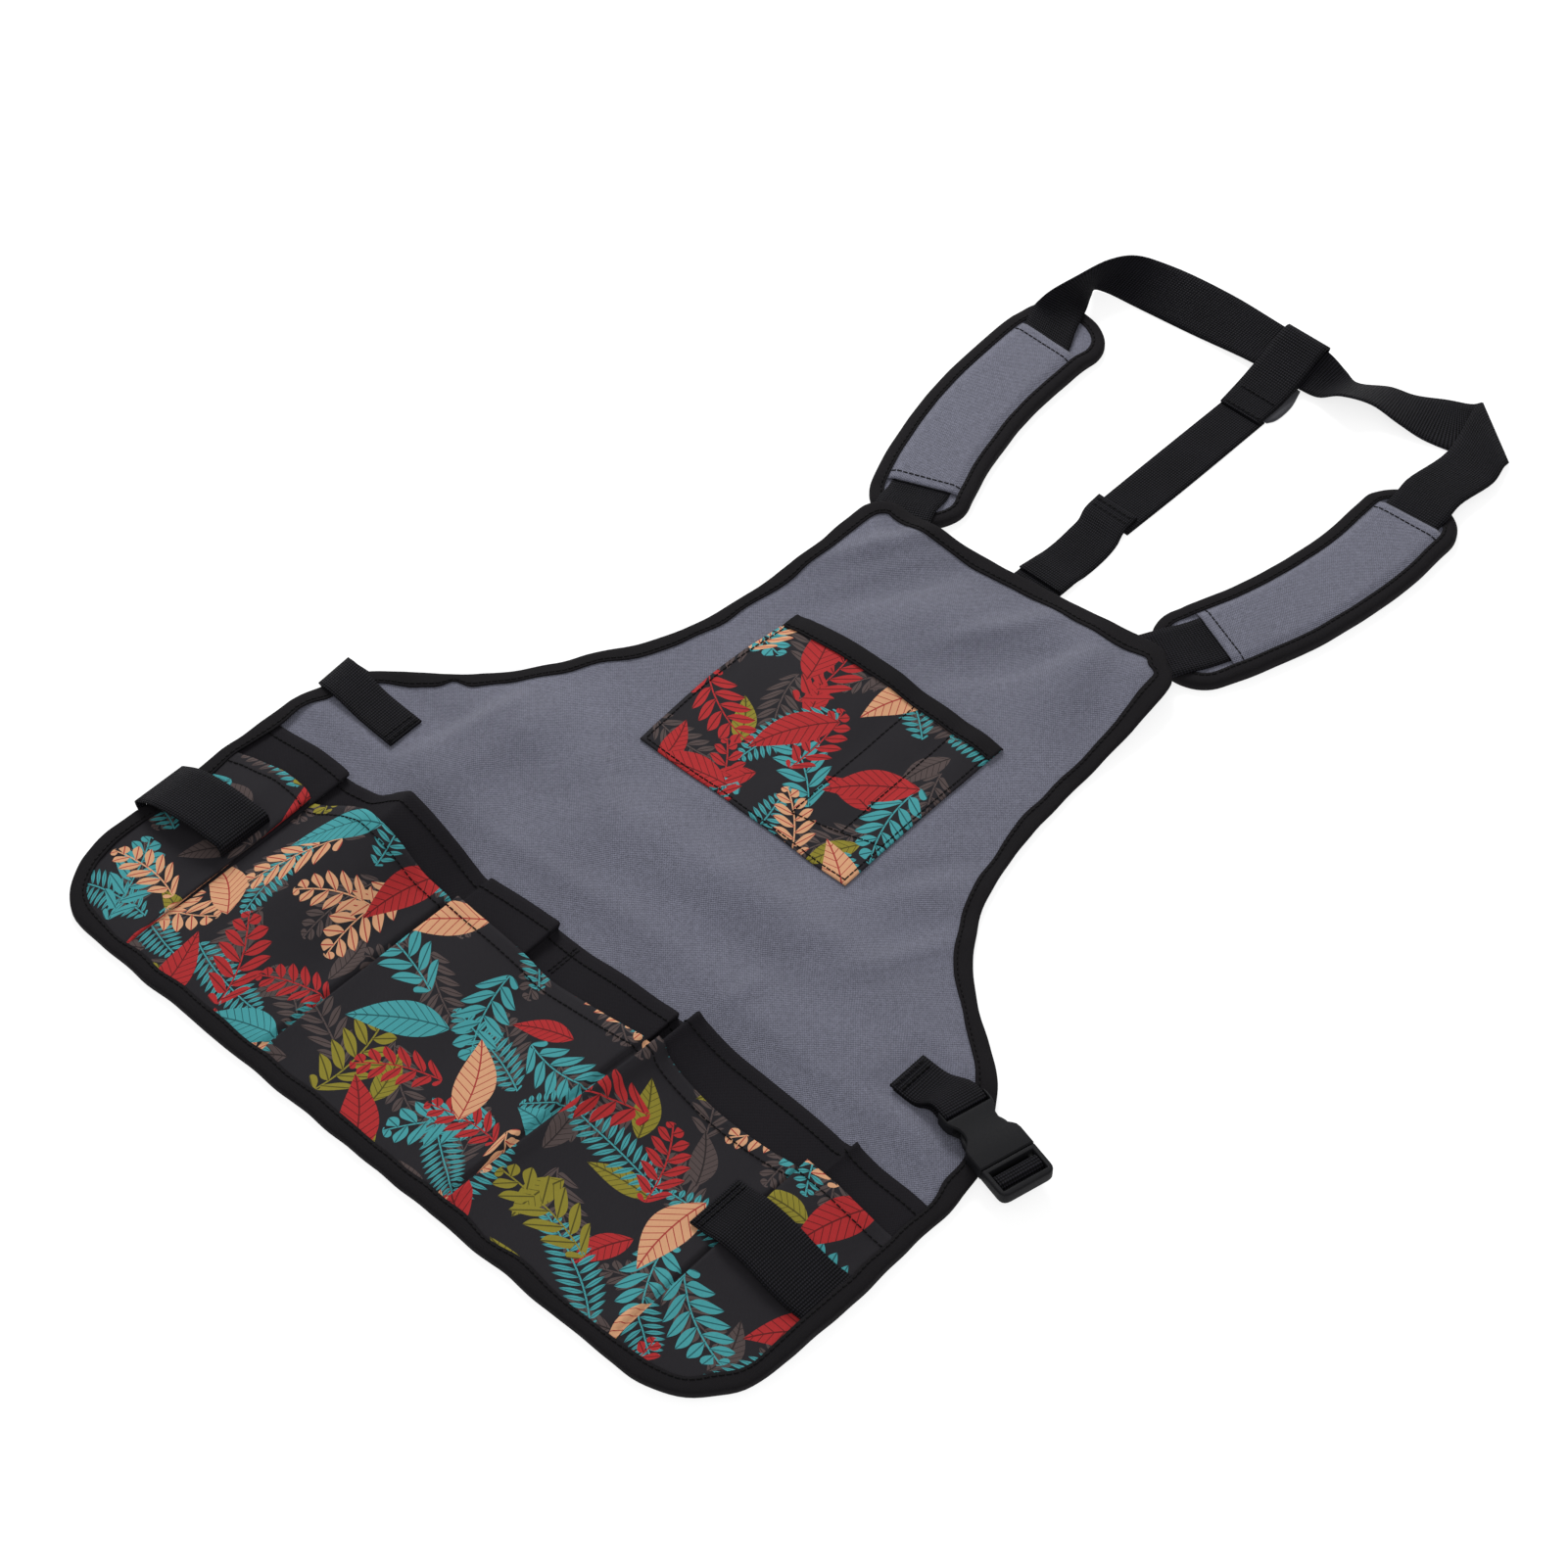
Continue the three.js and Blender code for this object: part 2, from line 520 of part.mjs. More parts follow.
// Socket: wide at its bar, drawn in at a waist where the plug's arms show, wide at its mouth.
function socketShape() {
  const { length, end, waist, mouth } = SOCKET;
  const shape = new THREE.Shape();
  shape.moveTo(0, -end + 3);
  shape.quadraticCurveTo(0, -end, 3, -end);
  shape.lineTo(8, -end);
  shape.bezierCurveTo(14, -end, 14, -waist, 21, -waist);
  shape.bezierCurveTo(30, -waist, 28, -mouth, 35, -mouth);
  shape.lineTo(length, -mouth);
  shape.lineTo(length, mouth);
  shape.lineTo(35, mouth);
  shape.bezierCurveTo(28, mouth, 30, waist, 21, waist);
  shape.bezierCurveTo(14, waist, 14, end, 8, end);
  shape.lineTo(3, end);
  shape.quadraticCurveTo(0, end, 0, end - 3);
  shape.closePath();
  return shape;
}
const barLow = BAR_MIDDLE - BAR_HALF;
const barHigh = BAR_MIDDLE + BAR_HALF;
const cavity = { low: 2, high: 8 };
const socket = plate(socketShape(), 0, BUCKLE.height)
  .subtract(block(SOCKET.bar, SOCKET.slotEnd, BUCKLE_SLOT, -1, BUCKLE.height + 1))
  .subtract(block(-1, SOCKET.slotEnd, BUCKLE_SLOT, -1, barLow))
  .subtract(block(-1, SOCKET.slotEnd, BUCKLE_SLOT, barHigh, BUCKLE.height + 1))
  .subtract(block(SOCKET.cavityFrom, SOCKET.length + 1, SOCKET.cavityHalf, cavity.low, cavity.high));
piece('buckle_socket', fromSolid(socket).applyMatrix4(BUCKLE_PLACE), BUCKLE_PLASTIC);

// Plug: a frame with two slots and a bar for the belt, and two sprung arms in the socket.
function plugFrame() {
  const { from, to, half } = PLUG;
  const shape = new THREE.Shape();
  shape.moveTo(from, -half);
  shape.lineTo(to - 6, -half);
  shape.quadraticCurveTo(to, -half, to, -half + 6);
  shape.lineTo(to, half - 6);
  shape.quadraticCurveTo(to, half, to - 6, half);
  shape.lineTo(from, half);
  shape.closePath();
  return shape;
}
function plugArms() {
  const { from, tip } = PLUG;
  const root = from + 2;
  const shape = new THREE.Shape();
  shape.moveTo(root, -15);
  shape.lineTo(34, -14);
  shape.lineTo(31, -16.4);
  shape.quadraticCurveTo(22, -16.6, tip, -11);
  shape.lineTo(20, -9);
  shape.lineTo(root - 5, -9.5);
  shape.lineTo(root - 5, -2.4);
  shape.lineTo(27, -2.4);
  shape.lineTo(25, 0);
  shape.lineTo(27, 2.4);
  shape.lineTo(root - 5, 2.4);
  shape.lineTo(root - 5, 9.5);
  shape.lineTo(20, 9);
  shape.lineTo(tip, 11);
  shape.quadraticCurveTo(22, 16.6, 31, 16.4);
  shape.lineTo(34, 14);
  shape.lineTo(root, 15);
  shape.closePath();
  return shape;
}
const armGap = 0.6;
const plug = plate(plugFrame(), 0.6, BUCKLE.height - 0.6)
  .add(plate(plugArms(), cavity.low + armGap, cavity.high - armGap))
  .subtract(block(...PLUG.slotA, BUCKLE_SLOT, -1, BUCKLE.height + 1))
  .subtract(block(...PLUG.slotB, BUCKLE_SLOT, -1, BUCKLE.height + 1))
  .subtract(block(PLUG.slotA[0], PLUG.slotB[1], BUCKLE_SLOT, 6, BUCKLE.height + 1));
piece('buckle_plug', fromSolid(plug).applyMatrix4(BUCKLE_PLACE), BUCKLE_PLASTIC);

// A point on a pad: s along it from the bib, t across it towards +X.
function onPad(pad, s, t, z) {
  const angle = PAD_START + s / PAD_RADIUS;
  const reach = PAD_RADIUS + pad.side * t;
  const x = pad.edge - PAD_RADIUS + reach * Math.cos(angle);
  return [pad.side * x, pad.level + reach * Math.sin(angle), z];
}

// Half the width of a pad, less an inset, at a distance along it: straight with round ends.
function padHalf(s, inset) {
  const fromEnd = Math.min(s, PAD_LENGTH - s);
  const rise = Math.max(PAD_CORNER - fromEnd, 0);
  const round = Math.sqrt(Math.max((PAD_CORNER - inset) ** 2 - rise ** 2, 0));
  return PAD_WIDTH / 2 - PAD_CORNER + round;
}

// Stations of a pad's outline with the direction that points out of it.
function padOutline() {
  const shape = new THREE.Shape();
  const half = PAD_WIDTH / 2;
  const c = PAD_CORNER;
  shape.moveTo(half, c);
  shape.lineTo(half, PAD_LENGTH - c);
  shape.absarc(half - c, PAD_LENGTH - c, c, 0, Math.PI / 2);
  shape.absarc(-half + c, PAD_LENGTH - c, c, Math.PI / 2, Math.PI);
  shape.lineTo(-half, c);
  shape.absarc(-half + c, c, c, Math.PI, 1.5 * Math.PI);
  shape.absarc(half - c, c, c, 1.5 * Math.PI, 2 * Math.PI);
  const points = shape.getSpacedPoints(36).slice(0, -1);
  return points.map((point, i) => {
    const before = points[(i + points.length - 1) % points.length];
    const after = points[(i + 1) % points.length];
    const length = after.distanceTo(before);
    return { t: point.x, s: point.y, outT: (after.y - before.y) / length, outS: -(after.x - before.x) / length };
  });
}
const PAD_EDGE = padOutline();
const PAD_LOW = TAPE_THICK + GAP;
const PAD_SECTION = [
  { inward: 0, z: 0 },
  { inward: 0, z: PAD_TOP + GAP + TAPE_THICK },
  { inward: PAD_TAPE, z: PAD_TOP + GAP + TAPE_THICK },
  { inward: PAD_TAPE, z: PAD_TOP + GAP },
  { inward: TAPE_THICK, z: PAD_TOP + GAP },
  { inward: TAPE_THICK, z: TAPE_THICK },
  { inward: PAD_TAPE, z: TAPE_THICK },
  { inward: PAD_TAPE, z: 0 },
];
const PAD_ROWS = [0, 0.015, 0.04, 0.08, 0.13, 0.23, 0.34, 0.45, 0.55, 0.66, 0.77, 0.87, 0.92, 0.96, 0.985, 1];
for (const [name, pad] of Object.entries(PADS)) {
  piece(`${name}_pad_base`, sheet(2, PAD_ROWS.length - 1, (u, v, side) => {
    const share = PAD_ROWS[Math.round(v * (PAD_ROWS.length - 1))];
    const s = LAYER_INSET + share * (PAD_LENGTH - 2 * LAYER_INSET);
    const t = padHalf(s, LAYER_INSET) * (2 * u - 1);
    return onPad(pad, s, t, side ? PAD_TOP : PAD_LOW);
  }), GREY);
  piece(`${name}_pad_binding`, ring(PAD_EDGE.length, PAD_SECTION.length, (stationIndex, cornerIndex) => {
    const station = PAD_EDGE[stationIndex];
    const corner = PAD_SECTION[cornerIndex];
    return onPad(pad, station.s - station.outS * corner.inward, station.t - station.outT * corner.inward, corner.z);
  }), BLACK_TAPE);
  piece(`${name}_pad_sleeve`, sheet(8, 6, (u, v, side) => {
    const t = SLEEVE_WIDTH * (u - 0.5);
    const s = pad.sleeveFrom + v * (pad.sleeveTo - pad.sleeveFrom);
    const arch = smooth((SLEEVE_WIDTH / 2 - Math.abs(t)) / SLEEVE_SLOPE);
    return onPad(pad, s, t, PAD_TOP + GAP + WEB_STEP * arch + side * CLOTH_THICK);
  }), GREY);
}

// Shoulder strap: from under the left bib corner, through both pads, to under the right bib corner.
function padRow(pad, s, z, aside = 0) {
  const half = STRAP_WIDTH / 2;
  return { left: onPad(pad, s, aside - half, z), right: onPad(pad, s, aside + half, z) };
}
const LEFT_PAD_WAY = [
  { s: -21, z: STRAP_IN_SLEEVE, aside: 0 },
  { s: 0, z: STRAP_ON_TAPE, aside: 0 },
  { s: 15, z: STRAP_ON_TAPE, aside: 0 },
  { s: 27, z: STRAP_IN_SLEEVE, aside: 0 },
  { s: 44, z: STRAP_IN_SLEEVE, aside: 0 },
  { s: 95, z: STRAP_IN_SLEEVE, aside: 0 },
  { s: 150, z: STRAP_IN_SLEEVE, aside: 0 },
  { s: 190, z: STRAP_IN_SLEEVE, aside: 0 },
  { s: 207, z: STRAP_IN_SLEEVE + 0.1, aside: -1 },
];
// The free stretch between the pads. It rises on its outer edge, turns to lie across, goes through the
// junction loop, twists once, and folds over at the right-hand corner.
const CROSS_WAY = [
  { stage: 'leaves the left pad', left: [-166, 818, 12], right: [-131, 822, 8.6] },
  { stage: 'rolls up', left: [-161, 827, 24], right: [-139, 842, 8.6] },
  { stage: 'stands', left: [-153, 848, 32], right: [-151, 861, 3.6] },
  { stage: 'turns', left: [-146, 879, 34], right: [-155, 870, 1.4] },
  { stage: 'leans back', left: [-137, 898, 31], right: [-148, 873, 1.0] },
  { stage: 'across', left: [-115, 910, 25], right: [-122, 876, 0.9] },
  { stage: 'across', left: [-67, 916, 21], right: [-76, 881, 0.9] },
  { stage: 'under the loop', left: [-22, 917, 17], right: [-24, 884.5, 4.4] },
  { stage: 'under the loop', left: [16, 918, 16], right: [16, 885.5, 4.4] },
  { stage: 'rolls over', left: [31, 920, 6], right: [31, 887, 5.5] },
  { stage: 'twist', left: [40, 920, 1.4], right: [50, 887, 19] },
  { stage: 'past the twist', left: [61, 933, 1.2], right: [68, 899, 14] },
  { stage: 'lies down', left: [78, 938, 1], right: [90, 902, 8] },
  { stage: 'to the fold', left: [97, 949.5, 1.0], right: [112, 906, 2.6] },
  { stage: 'fold', left: [113, 958.5, 0.9], right: [161, 922.5, 0.9] },
  { stage: 'fold edge', left: [117, 962.8, 2.4], right: [165, 927, 2.4] },
  { stage: 'over the fold', left: [116, 957, 4.2], right: [163, 922, 4.2] },
  { stage: 'down', left: [129, 904, 6.0], right: [168, 903, 6.0] },
];
const RIGHT_PAD_WAY = [
  { s: 250, z: STRAP_ON_TAPE, aside: 1 },
  { s: 233, z: STRAP_ON_TAPE + 0.1, aside: 1 },
  { s: 221, z: STRAP_IN_SLEEVE + 0.1, aside: 0 },
  { s: 204, z: STRAP_IN_SLEEVE, aside: 0 },
  { s: 150, z: STRAP_IN_SLEEVE, aside: 0 },
  { s: 95, z: STRAP_IN_SLEEVE, aside: 0 },
  { s: 44, z: STRAP_IN_SLEEVE, aside: 0 },
  { s: 27, z: STRAP_IN_SLEEVE, aside: 0 },
  { s: 15, z: STRAP_ON_TAPE, aside: 0 },
  { s: 0, z: STRAP_ON_TAPE, aside: 0 },
  { s: -21, z: STRAP_IN_SLEEVE, aside: 0 },
];
piece('shoulder_strap', ribbon([
  ...LEFT_PAD_WAY.map((row) => padRow(PADS.left, row.s, row.z, row.aside)),
  ...CROSS_WAY,
  ...RIGHT_PAD_WAY.map((row) => padRow(PADS.right, row.s, row.z, row.aside)),
], 2, 2), WEBBING);

// Straps that run along Y, with their left and right edges and height at each row.
const edgesUpY = (row) => ({ left: [row.left, row.y, row.z], right: [row.right, row.y, row.z] });
piece('centre_strap_upper', ribbon([
  { y: 699, left: -17, right: 17, z: LOW },
  { y: 760, left: -17, right: 18, z: LOW },
  { y: 846, left: -16.5, right: 18, z: LOW },
].map(edgesUpY), 3), WEBBING);
piece('strap_insert', ribbon([
  { y: 626, left: -16, right: 21, z: SECOND },
  { y: 641, left: -14, right: 21, z: SECOND },
  { y: 650, left: -14, right: 21, z: LOW + 0.2 },
  { y: 662, left: -14, right: 21, z: LOW },
  { y: 676, left: -15, right: 20, z: LOW },
  { y: 687, left: -16, right: 18, z: LOW + 0.2 },
  { y: 697, left: -19, right: 15, z: SECOND },
  { y: 714, left: -20.5, right: 13, z: SECOND },
].map(edgesUpY), 3), WEBBING);
piece('centre_strap_lower', ribbon([
  { y: 240, left: -18, right: 18, z: SECOND },
  { y: 280, left: -18, right: 18, z: SECOND },
  { y: 291, left: -18, right: 18, z: LOW + 0.2 },
  { y: 306, left: -18, right: 18, z: LOW },
  { y: 340, left: -18, right: 18, z: LOW },
  { y: 450, left: -18, right: 18, z: LOW },
  { y: 600, left: -16, right: 20, z: LOW },
  { y: 639, left: -15, right: 20, z: LOW },
].map(edgesUpY), 3), WEBBING);

// Junction: a loop over the cross part and a patch below it.
piece('junction_loop', ribbon([
  { y: 841, left: -17, right: 17, z: SECOND },
  { y: 866, left: -20, right: 16.5, z: SECOND + 0.2 },
  { y: 880, left: -21, right: 16, z: 5.2 },
  { y: 900, left: -21, right: 15.5, z: 12.6 },
  { y: 916, left: -20.5, right: 15, z: 19.2 },
  { y: 920.4, left: -20.5, right: 15, z: 17.4 },
  { y: 918, left: -20.5, right: 15, z: 14.2 },
  { y: 890, left: -20, right: 15, z: 3.4 },
  { y: 880, left: -20, right: 15, z: 2.6 },
].map(edgesUpY), 3), WEBBING);
piece('junction_patch', ribbon([
  { y: 847, left: -17, right: 19, z: LOW },
  { y: 853, left: -18, right: 22, z: LOW },
  { y: 870, left: -18, right: 22, z: LOW },
  { y: 887, left: -17, right: 17, z: LOW },
].map(edgesUpY), 2), PATCH);

// The origin is under the middle of the whole apron, on the surface that it lies on.
const box = new THREE.Box3().setFromObject(group);
const middle = box.getCenter(new THREE.Vector3());
group.position.set(-middle.x, -middle.y, -box.min.z);
group.updateMatrixWorld(true);

export default group;
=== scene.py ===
"""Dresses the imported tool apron: cloth, tape, webbing, pads, stitching, print and a moulded buckle.

Shapes are worked out in millimetres on the apron, with X across it, Y from the hem up to the
straps and Z up from the surface, and moved to the row frame in metres at the end.
"""

import bisect
import math
from collections import namedtuple

import bmesh
import bpy
from mathutils import Matrix, Vector, noise


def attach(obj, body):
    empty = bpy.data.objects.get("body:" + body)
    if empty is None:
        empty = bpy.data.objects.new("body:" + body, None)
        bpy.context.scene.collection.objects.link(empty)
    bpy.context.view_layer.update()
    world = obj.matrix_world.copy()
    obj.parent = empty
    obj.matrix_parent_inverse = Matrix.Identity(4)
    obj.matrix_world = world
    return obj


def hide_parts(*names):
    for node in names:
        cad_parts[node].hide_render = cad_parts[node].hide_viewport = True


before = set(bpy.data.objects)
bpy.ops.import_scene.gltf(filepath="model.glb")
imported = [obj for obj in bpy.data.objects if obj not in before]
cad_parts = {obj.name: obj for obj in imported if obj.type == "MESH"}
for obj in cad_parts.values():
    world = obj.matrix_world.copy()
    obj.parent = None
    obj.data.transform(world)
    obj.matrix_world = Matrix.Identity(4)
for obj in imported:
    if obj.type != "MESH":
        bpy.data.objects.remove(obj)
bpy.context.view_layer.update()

# The apron's middle lies over the row's origin.
SHIFT = Vector((-11.813, -481.675, 0.0))

# Cloth and webbing thicknesses and the small gaps between layers.
PANEL_THICK = 1.2
CLOTH_THICK = 1.0
TAPE_THICK = 1.0
WEB_THICK = 1.4
GAP = 0.4
LAYER_GAP = 0.6
REST = TAPE_THICK + GAP
WEB_STEP = WEB_THICK + GAP
LOW = WEB_THICK / 2 + 0.1
SECOND = LOW + WEB_STEP

# Outline of the panel and its tape.
SKIRT_HALF = 290.0
HEM_RADIUS = 62.0
BIB_HALF = 129.0
BIB_TOP = 619.0
BIB_CORNER = 26.0
BIB_TILT = 0.065
TILT_Y = (480.0, 620.0)
TAPE_WIDTH = 11.0
TAPE_INSET = TAPE_THICK + GAP
PANEL_INSET = 3.0
LAYER_INSET = TAPE_INSET + 1
TAPE_FOLLOW = 0.85
TAPE_FLAT = (2400.0, 30.0)
# Unevenness of the edge and of its tape: how much, and over what size.
EDGE_WAVE, EDGE_WAVE_SIZE = 1.4, 24
TAPE_UNEVEN, TAPE_UNEVEN_SIZE = 0.2, 27
PUCKER, PUCKER_SIZE = 0.25, 9
# How far the laid panel strays from its even cut, outwards: y, on its left side and on its right side.
EDGE_DRIFT = (
    (0, 0.0, 0.0),
    (45, -5.0, 0.0),
    (150, -7.0, 2.0),
    (214, -7.0, 1.0),
    (236, -8.0, 2.0),
    (266, -1.4, 5.6),
    (288, -4.8, 9.0),
    (304, -7.2, 6.8),
    (332, -5.2, 1.6),
    (354, -0.4, 0.0),
    (374, 2.5, -0.7),
    (424, -3.6, 1.0),
    (460, -4.7, 2.4),
    (526, -4.2, 3.0),
    (564, -5.6, 5.0),
    (596, -4.0, 2.0),
    (BIB_TOP, 0.0, 0.0),
)
# Places where the edge is drawn in: x, y, reach and distance.
EDGE_SPOTS = (
    (-97, 619, 19, 7.0),
    (-62, 619, 22, 6.0),
    (-25, 619, 26, 2.6),
    (58, 619, 34, 3.2),
    (-121, 611, 14, 3.0),
    (121, 611, 14, 4.0),
)
# Places where the tape is wider or narrower: x, y, reach and share of its width.
TAPE_SPOTS = (
    (-242, 287, 14, 0.30),
    (-222, 303, 7, -0.55),
    (250, 290, 34, 0.20),
    (288, 225, 24, 0.25),
    (-60, 619, 40, 0.15),
    (0, 619, 44, 0.25),
    (66, 619, 30, 0.40),
    (92, 619, 16, 0.35),
    (130, 574, 18, 0.35),
)

# What lifts the panel off the surface: left, right, low and high edge of each strap under it.
LIFT_RAMP = 42.0
BELT_UNDER = (-300.0, 300.0, 242.0, 284.0)
CENTRE_STRAP_UNDER = (-20.0, 22.0, 244.0, 660.0)
CORNER_LIFT = 9.8
CORNER_LIFT_X = (8.0, 86.0)
CORNER_LIFT_Y = (505.0, 606.0)

# Folds of the panel: middle x and y, direction in degrees, reach, width and height.
FOLDS = (
    (-21, 552, 58, 48, 22, 5.0),
    (-158, 290, 80, 42, 22, 5.5),
    (-108, 316, -48, 36, 22, 3.5),
    (42, 302, 6, 92, 22, 4.0),
    (118, 372, 62, 34, 20, 3.5),
)
# The panel is free to crumple above the pockets. It lies this much off its rest, with broad and fine waves.
FREE_Y = (205, 235)
CRUMPLE = 2.0
FLOOR_BEND = 0.8
BROAD_WAVE, BROAD_WAVE_SIZE = 1.5, 62
FINE_WAVE, FINE_WAVE_SIZE = 0.6, 21
# Narrower creases that mostly show as light and shade, each with the same numbers as a fold.
CREASES = (
    (-60, 556, 60, 52, 11, -3.8),
    (-92, 572, 58, 44, 9, 4.2),
    (14, 566, 60, 44, 11, 5.0),
    (46, 560, 58, 50, 10, -3.5),
    (78, 578, -65, 40, 16, 5.5),
    (108, 598, 120, 24, 9, 2.0),
    (-104, 590, -20, 24, 7, -2.0),
    (78, 470, 96, 110, 30, 3.6),
    (-176, 290, 82, 40, 9, 3.5),
    (-136, 268, -42, 44, 10, -3.8),
    (-196, 262, 70, 30, 8, -2.6),
    (-84, 300, -40, 46, 9, 2.6),
    (40, 258, 6, 92, 14, -3.0),
    (60, 296, 6, 84, 20, 2.6),
    (-150, 292, 84, 60, 30, 3.2),
    (-55, 285, 70, 52, 24, 2.8),
    (112, 380, 60, 40, 10, -3.2),
    (150, 330, 62, 40, 9, 2.6),
    (94, 236, 88, 22, 6, 2.3),
    (250, 222, -24, 30, 7, 2.3),
    (-60, 226, 4, 74, 8, 1.7),
    (150, 226, -4, 66, 8, 1.7),
)

# Places where sewn webbing holds the panel flat: left, right, low and high edge.
WEBBING_SEATS = ((-300.0, -204.0, 232.0, 268.0), (205.0, 300.0, 246.0, 280.0))
SEAT_RAMP = 14.0

# Pockets. Each line is one place across a row's cloth: its x along the hem and along the mouth, the mouth's
# y and how far it stands off, then, where there are any, the step of a folded edge and the cloth tucked away.
BACK_TOP = 198.0
FRONT_TOP = 166.0
POCKET_FULLNESS = 1.3
TUCK = 24.0
HEM_DROP = 9.0
HEM_THICK = 0.35
POCKET_WAVE, POCKET_WAVE_SIZE = 0.5, 34
POCKET_WAVE_Y = (20, 50)
# Over these heights the pocket rows leave the tape's fold.
ROWS_END_Y = (BACK_TOP + 6, BACK_TOP + 28)
BACK_PLACES = (
    (-280.4, -280.4, 194.0, 0.0),
    (-269, -269, 195.0, 0.5),
    (-247, -247, 195.5, 4.0),
    (-232, -232, 196.0, 6.0),
    (-216, -216, 196.0, 5.2, 0.2),
    (-207.6, -206.6, 195.2, 4.0, 1.2),
    (-206.2, -205, 194.2, 3.2, 1.2, TUCK),
    (-205.6, -207.4, 193.6, 0.4),
    (-199, -200, 194.0, 0.5),
    (-188, -188, 196.0, 0.9),
    (-180, -180, 196.8, 3.0),
    (-172, -172, 198.0, 9.0),
    (-160, -160, 199.6, 20.0),
    (-151, -151, 200.2, 26.0),
    (-146, -146, 200.0, 25.0),
    (-134, -134, 199.8, 21.0),
    (-110, -110, 199.0, 10.0),
    (-95, -94, 197.4, 3.4),
    (-84, -83, 196.0, 0.8),
    (-81.6, -80.4, 196.0, 0.5, 0.0, TUCK),
    (-81, -79.6, 196.6, 3.2, 1.0),
    (-70, -70, 197.4, 4.6, 0.2),
    (-56, -56, 198.4, 5.5),
    (-31, -31, 199.4, 6.0, 0.3),
    (-22.6, -22.4, 199.4, 6.0, 1.2),
    (-21.4, -21, 199.0, 5.4, 1.2, TUCK),
    (-20.8, -22.6, 198.4, 0.5),
    (-14, -14, 198.0, 0.4),
    (-4, -4, 198.0, 0.3),
    (6, 6, 198.0, 0.6),
    (25, 25, 198.2, 3.4),
    (41, 41, 198.4, 5.0),
    (59, 60, 198.5, 5.5),
    (72, 76, 199.0, 5.6, 0.8),
    (75.6, 80.4, 198.8, 5.2, 1.2, TUCK),
    (76.2, 79.4, 198.4, 1.0),
    (78, 90, 198.6, 1.8),
    (79, 94.6, 199.6, 20.0, 0.6),
    (80, 96.2, 199.8, 21.5, 0.8),
    (85, 102, 199.5, 18.5),
    (112, 123, 199.4, 10.5),
    (146, 150, 200.7, 5.0),
    (174, 175, 200.7, 3.5),
    (204, 206, 199.8, 1.6),
    (211, 212.6, 199.4, 1.0, 0.0, TUCK),
    (214, 221.4, 199.4, 3.4),
    (215, 223.6, 199.8, 10.0, 0.8),
    (220, 227.7, 199.2, 8.0, 0.2),
    (243, 243.4, 198.8, 4.0),
    (268, 268, 199.4, 1.5),
    (286.6, 286.6, 198.0, 0.0),
)
FRONT_PLACES = (
    (-280.4, -280.4, 160.0, 0.0),
    (-273, -273, 160.5, 0.2),
    (-262, -262, 163.0, 2.0),
    (-250, -250.5, 164.0, 4.5),
    (-230, -230.5, 166.0, 8.0),
    (-217, -216, 165.6, 7.2, 0.4),
    (-209.6, -209, 164.0, 5.4, 1.5),
    (-207.8, -207, 163.0, 4.2, 1.6, TUCK),
    (-207.2, -209.6, 162.4, 0.4),
    (-202, -203, 164.6, 1.6),
    (-197, -196.6, 166.2, 4.0),
    (-183, -181.6, 168.4, 14.4),
    (-170, -168, 169.2, 23.0),
    (-157, -155, 169.2, 28.6),
    (-142, -141, 168.6, 27.0),
    (-129, -128, 168.0, 22.4),
    (-109, -107, 167.0, 9.8, 0.4),
    (-99, -96, 167.5, 5.4, 1.2),
    (-91.8, -86, 167.3, 2.8, 2.3),
    (-90.4, -84.4, 167.2, 2.2, 0.2),
    (-87.6, -80.8, 167.0, 1.4, -0.2, TUCK),
    (-86.8, -79.2, 168.3, 8.6, 2.6),
    (-80, -72, 168.0, 9.6, 1.5),
    (-66, -60, 167.4, 10.4, 0.2),
    (-49, -47, 166.8, 10.8),
    (-18, -17, 165.9, 7.6),
    (3, 4, 164.6, 3.8),
    (30, 31, 165.8, 5.8),
    (50, 53, 167.0, 7.4, 0.4),
    (60, 66, 168.0, 8.2, 1.2),
    (67.4, 79.4, 169.2, 8.4, 2.3),
    (68.8, 81.4, 169.4, 8.4, 0.2),
    (71.6, 91.8, 169.0, 8.2, -0.2, TUCK),
    (72.4, 93.6, 168.3, 22.4, 2.6),
    (77, 98, 168.0, 21.8, 1.5),
    (83, 103.6, 165.4, 17.2, 0.8),
    (108, 124, 162.4, 11.4),
    (136, 145, 161.2, 6.8),
    (155, 161, 161.8, 4.4),
    (172, 175, 162.6, 3.4),
    (188, 189.6, 164.2, 2.4),
    (199, 200, 165.6, 1.5, 1.1),
    (205.6, 206.6, 166.2, 1.2, 2.0),
    (207, 208, 166.4, 1.0, 0.2),
    (209.7, 210.8, 167.0, 0.9, -0.2, TUCK),
    (210.5, 212, 169.2, 9.4, 2.4),
    (216, 217.6, 169.0, 10.6, 1.3),
    (230, 232, 168.5, 11.4),
    (256, 256.5, 168.0, 6.4),
    (276, 277, 168.4, 0.6),
    (286.6, 286.6, 168.4, 0.0),
)
CHEST_LEFT, CHEST_RIGHT, CHEST_LOW, CHEST_TOP = -92.5, 84.5, 342.5, 490.5
CHEST_WIDTH = CHEST_RIGHT - CHEST_LEFT
CHEST_HEIGHT = CHEST_TOP - CHEST_LOW
CHEST_BOW = 5.0
CHEST_PROFILE = (
    (CHEST_LEFT, 0), (-80, 3.0), (-40, 7.8), (-5, 8.0), (21, 3.4), (38, 3.6), (54, 2.4), (68, 3.0),
    (80, 1.0), (CHEST_RIGHT, 0),
)
CHEST_TAPE = 13.0
CHEST_PRINT_SHIFT = 700
# Seams of the pen slots.
PEN_SEAMS = ((21, 362), (54, 371))
PEN_FOOT = 380

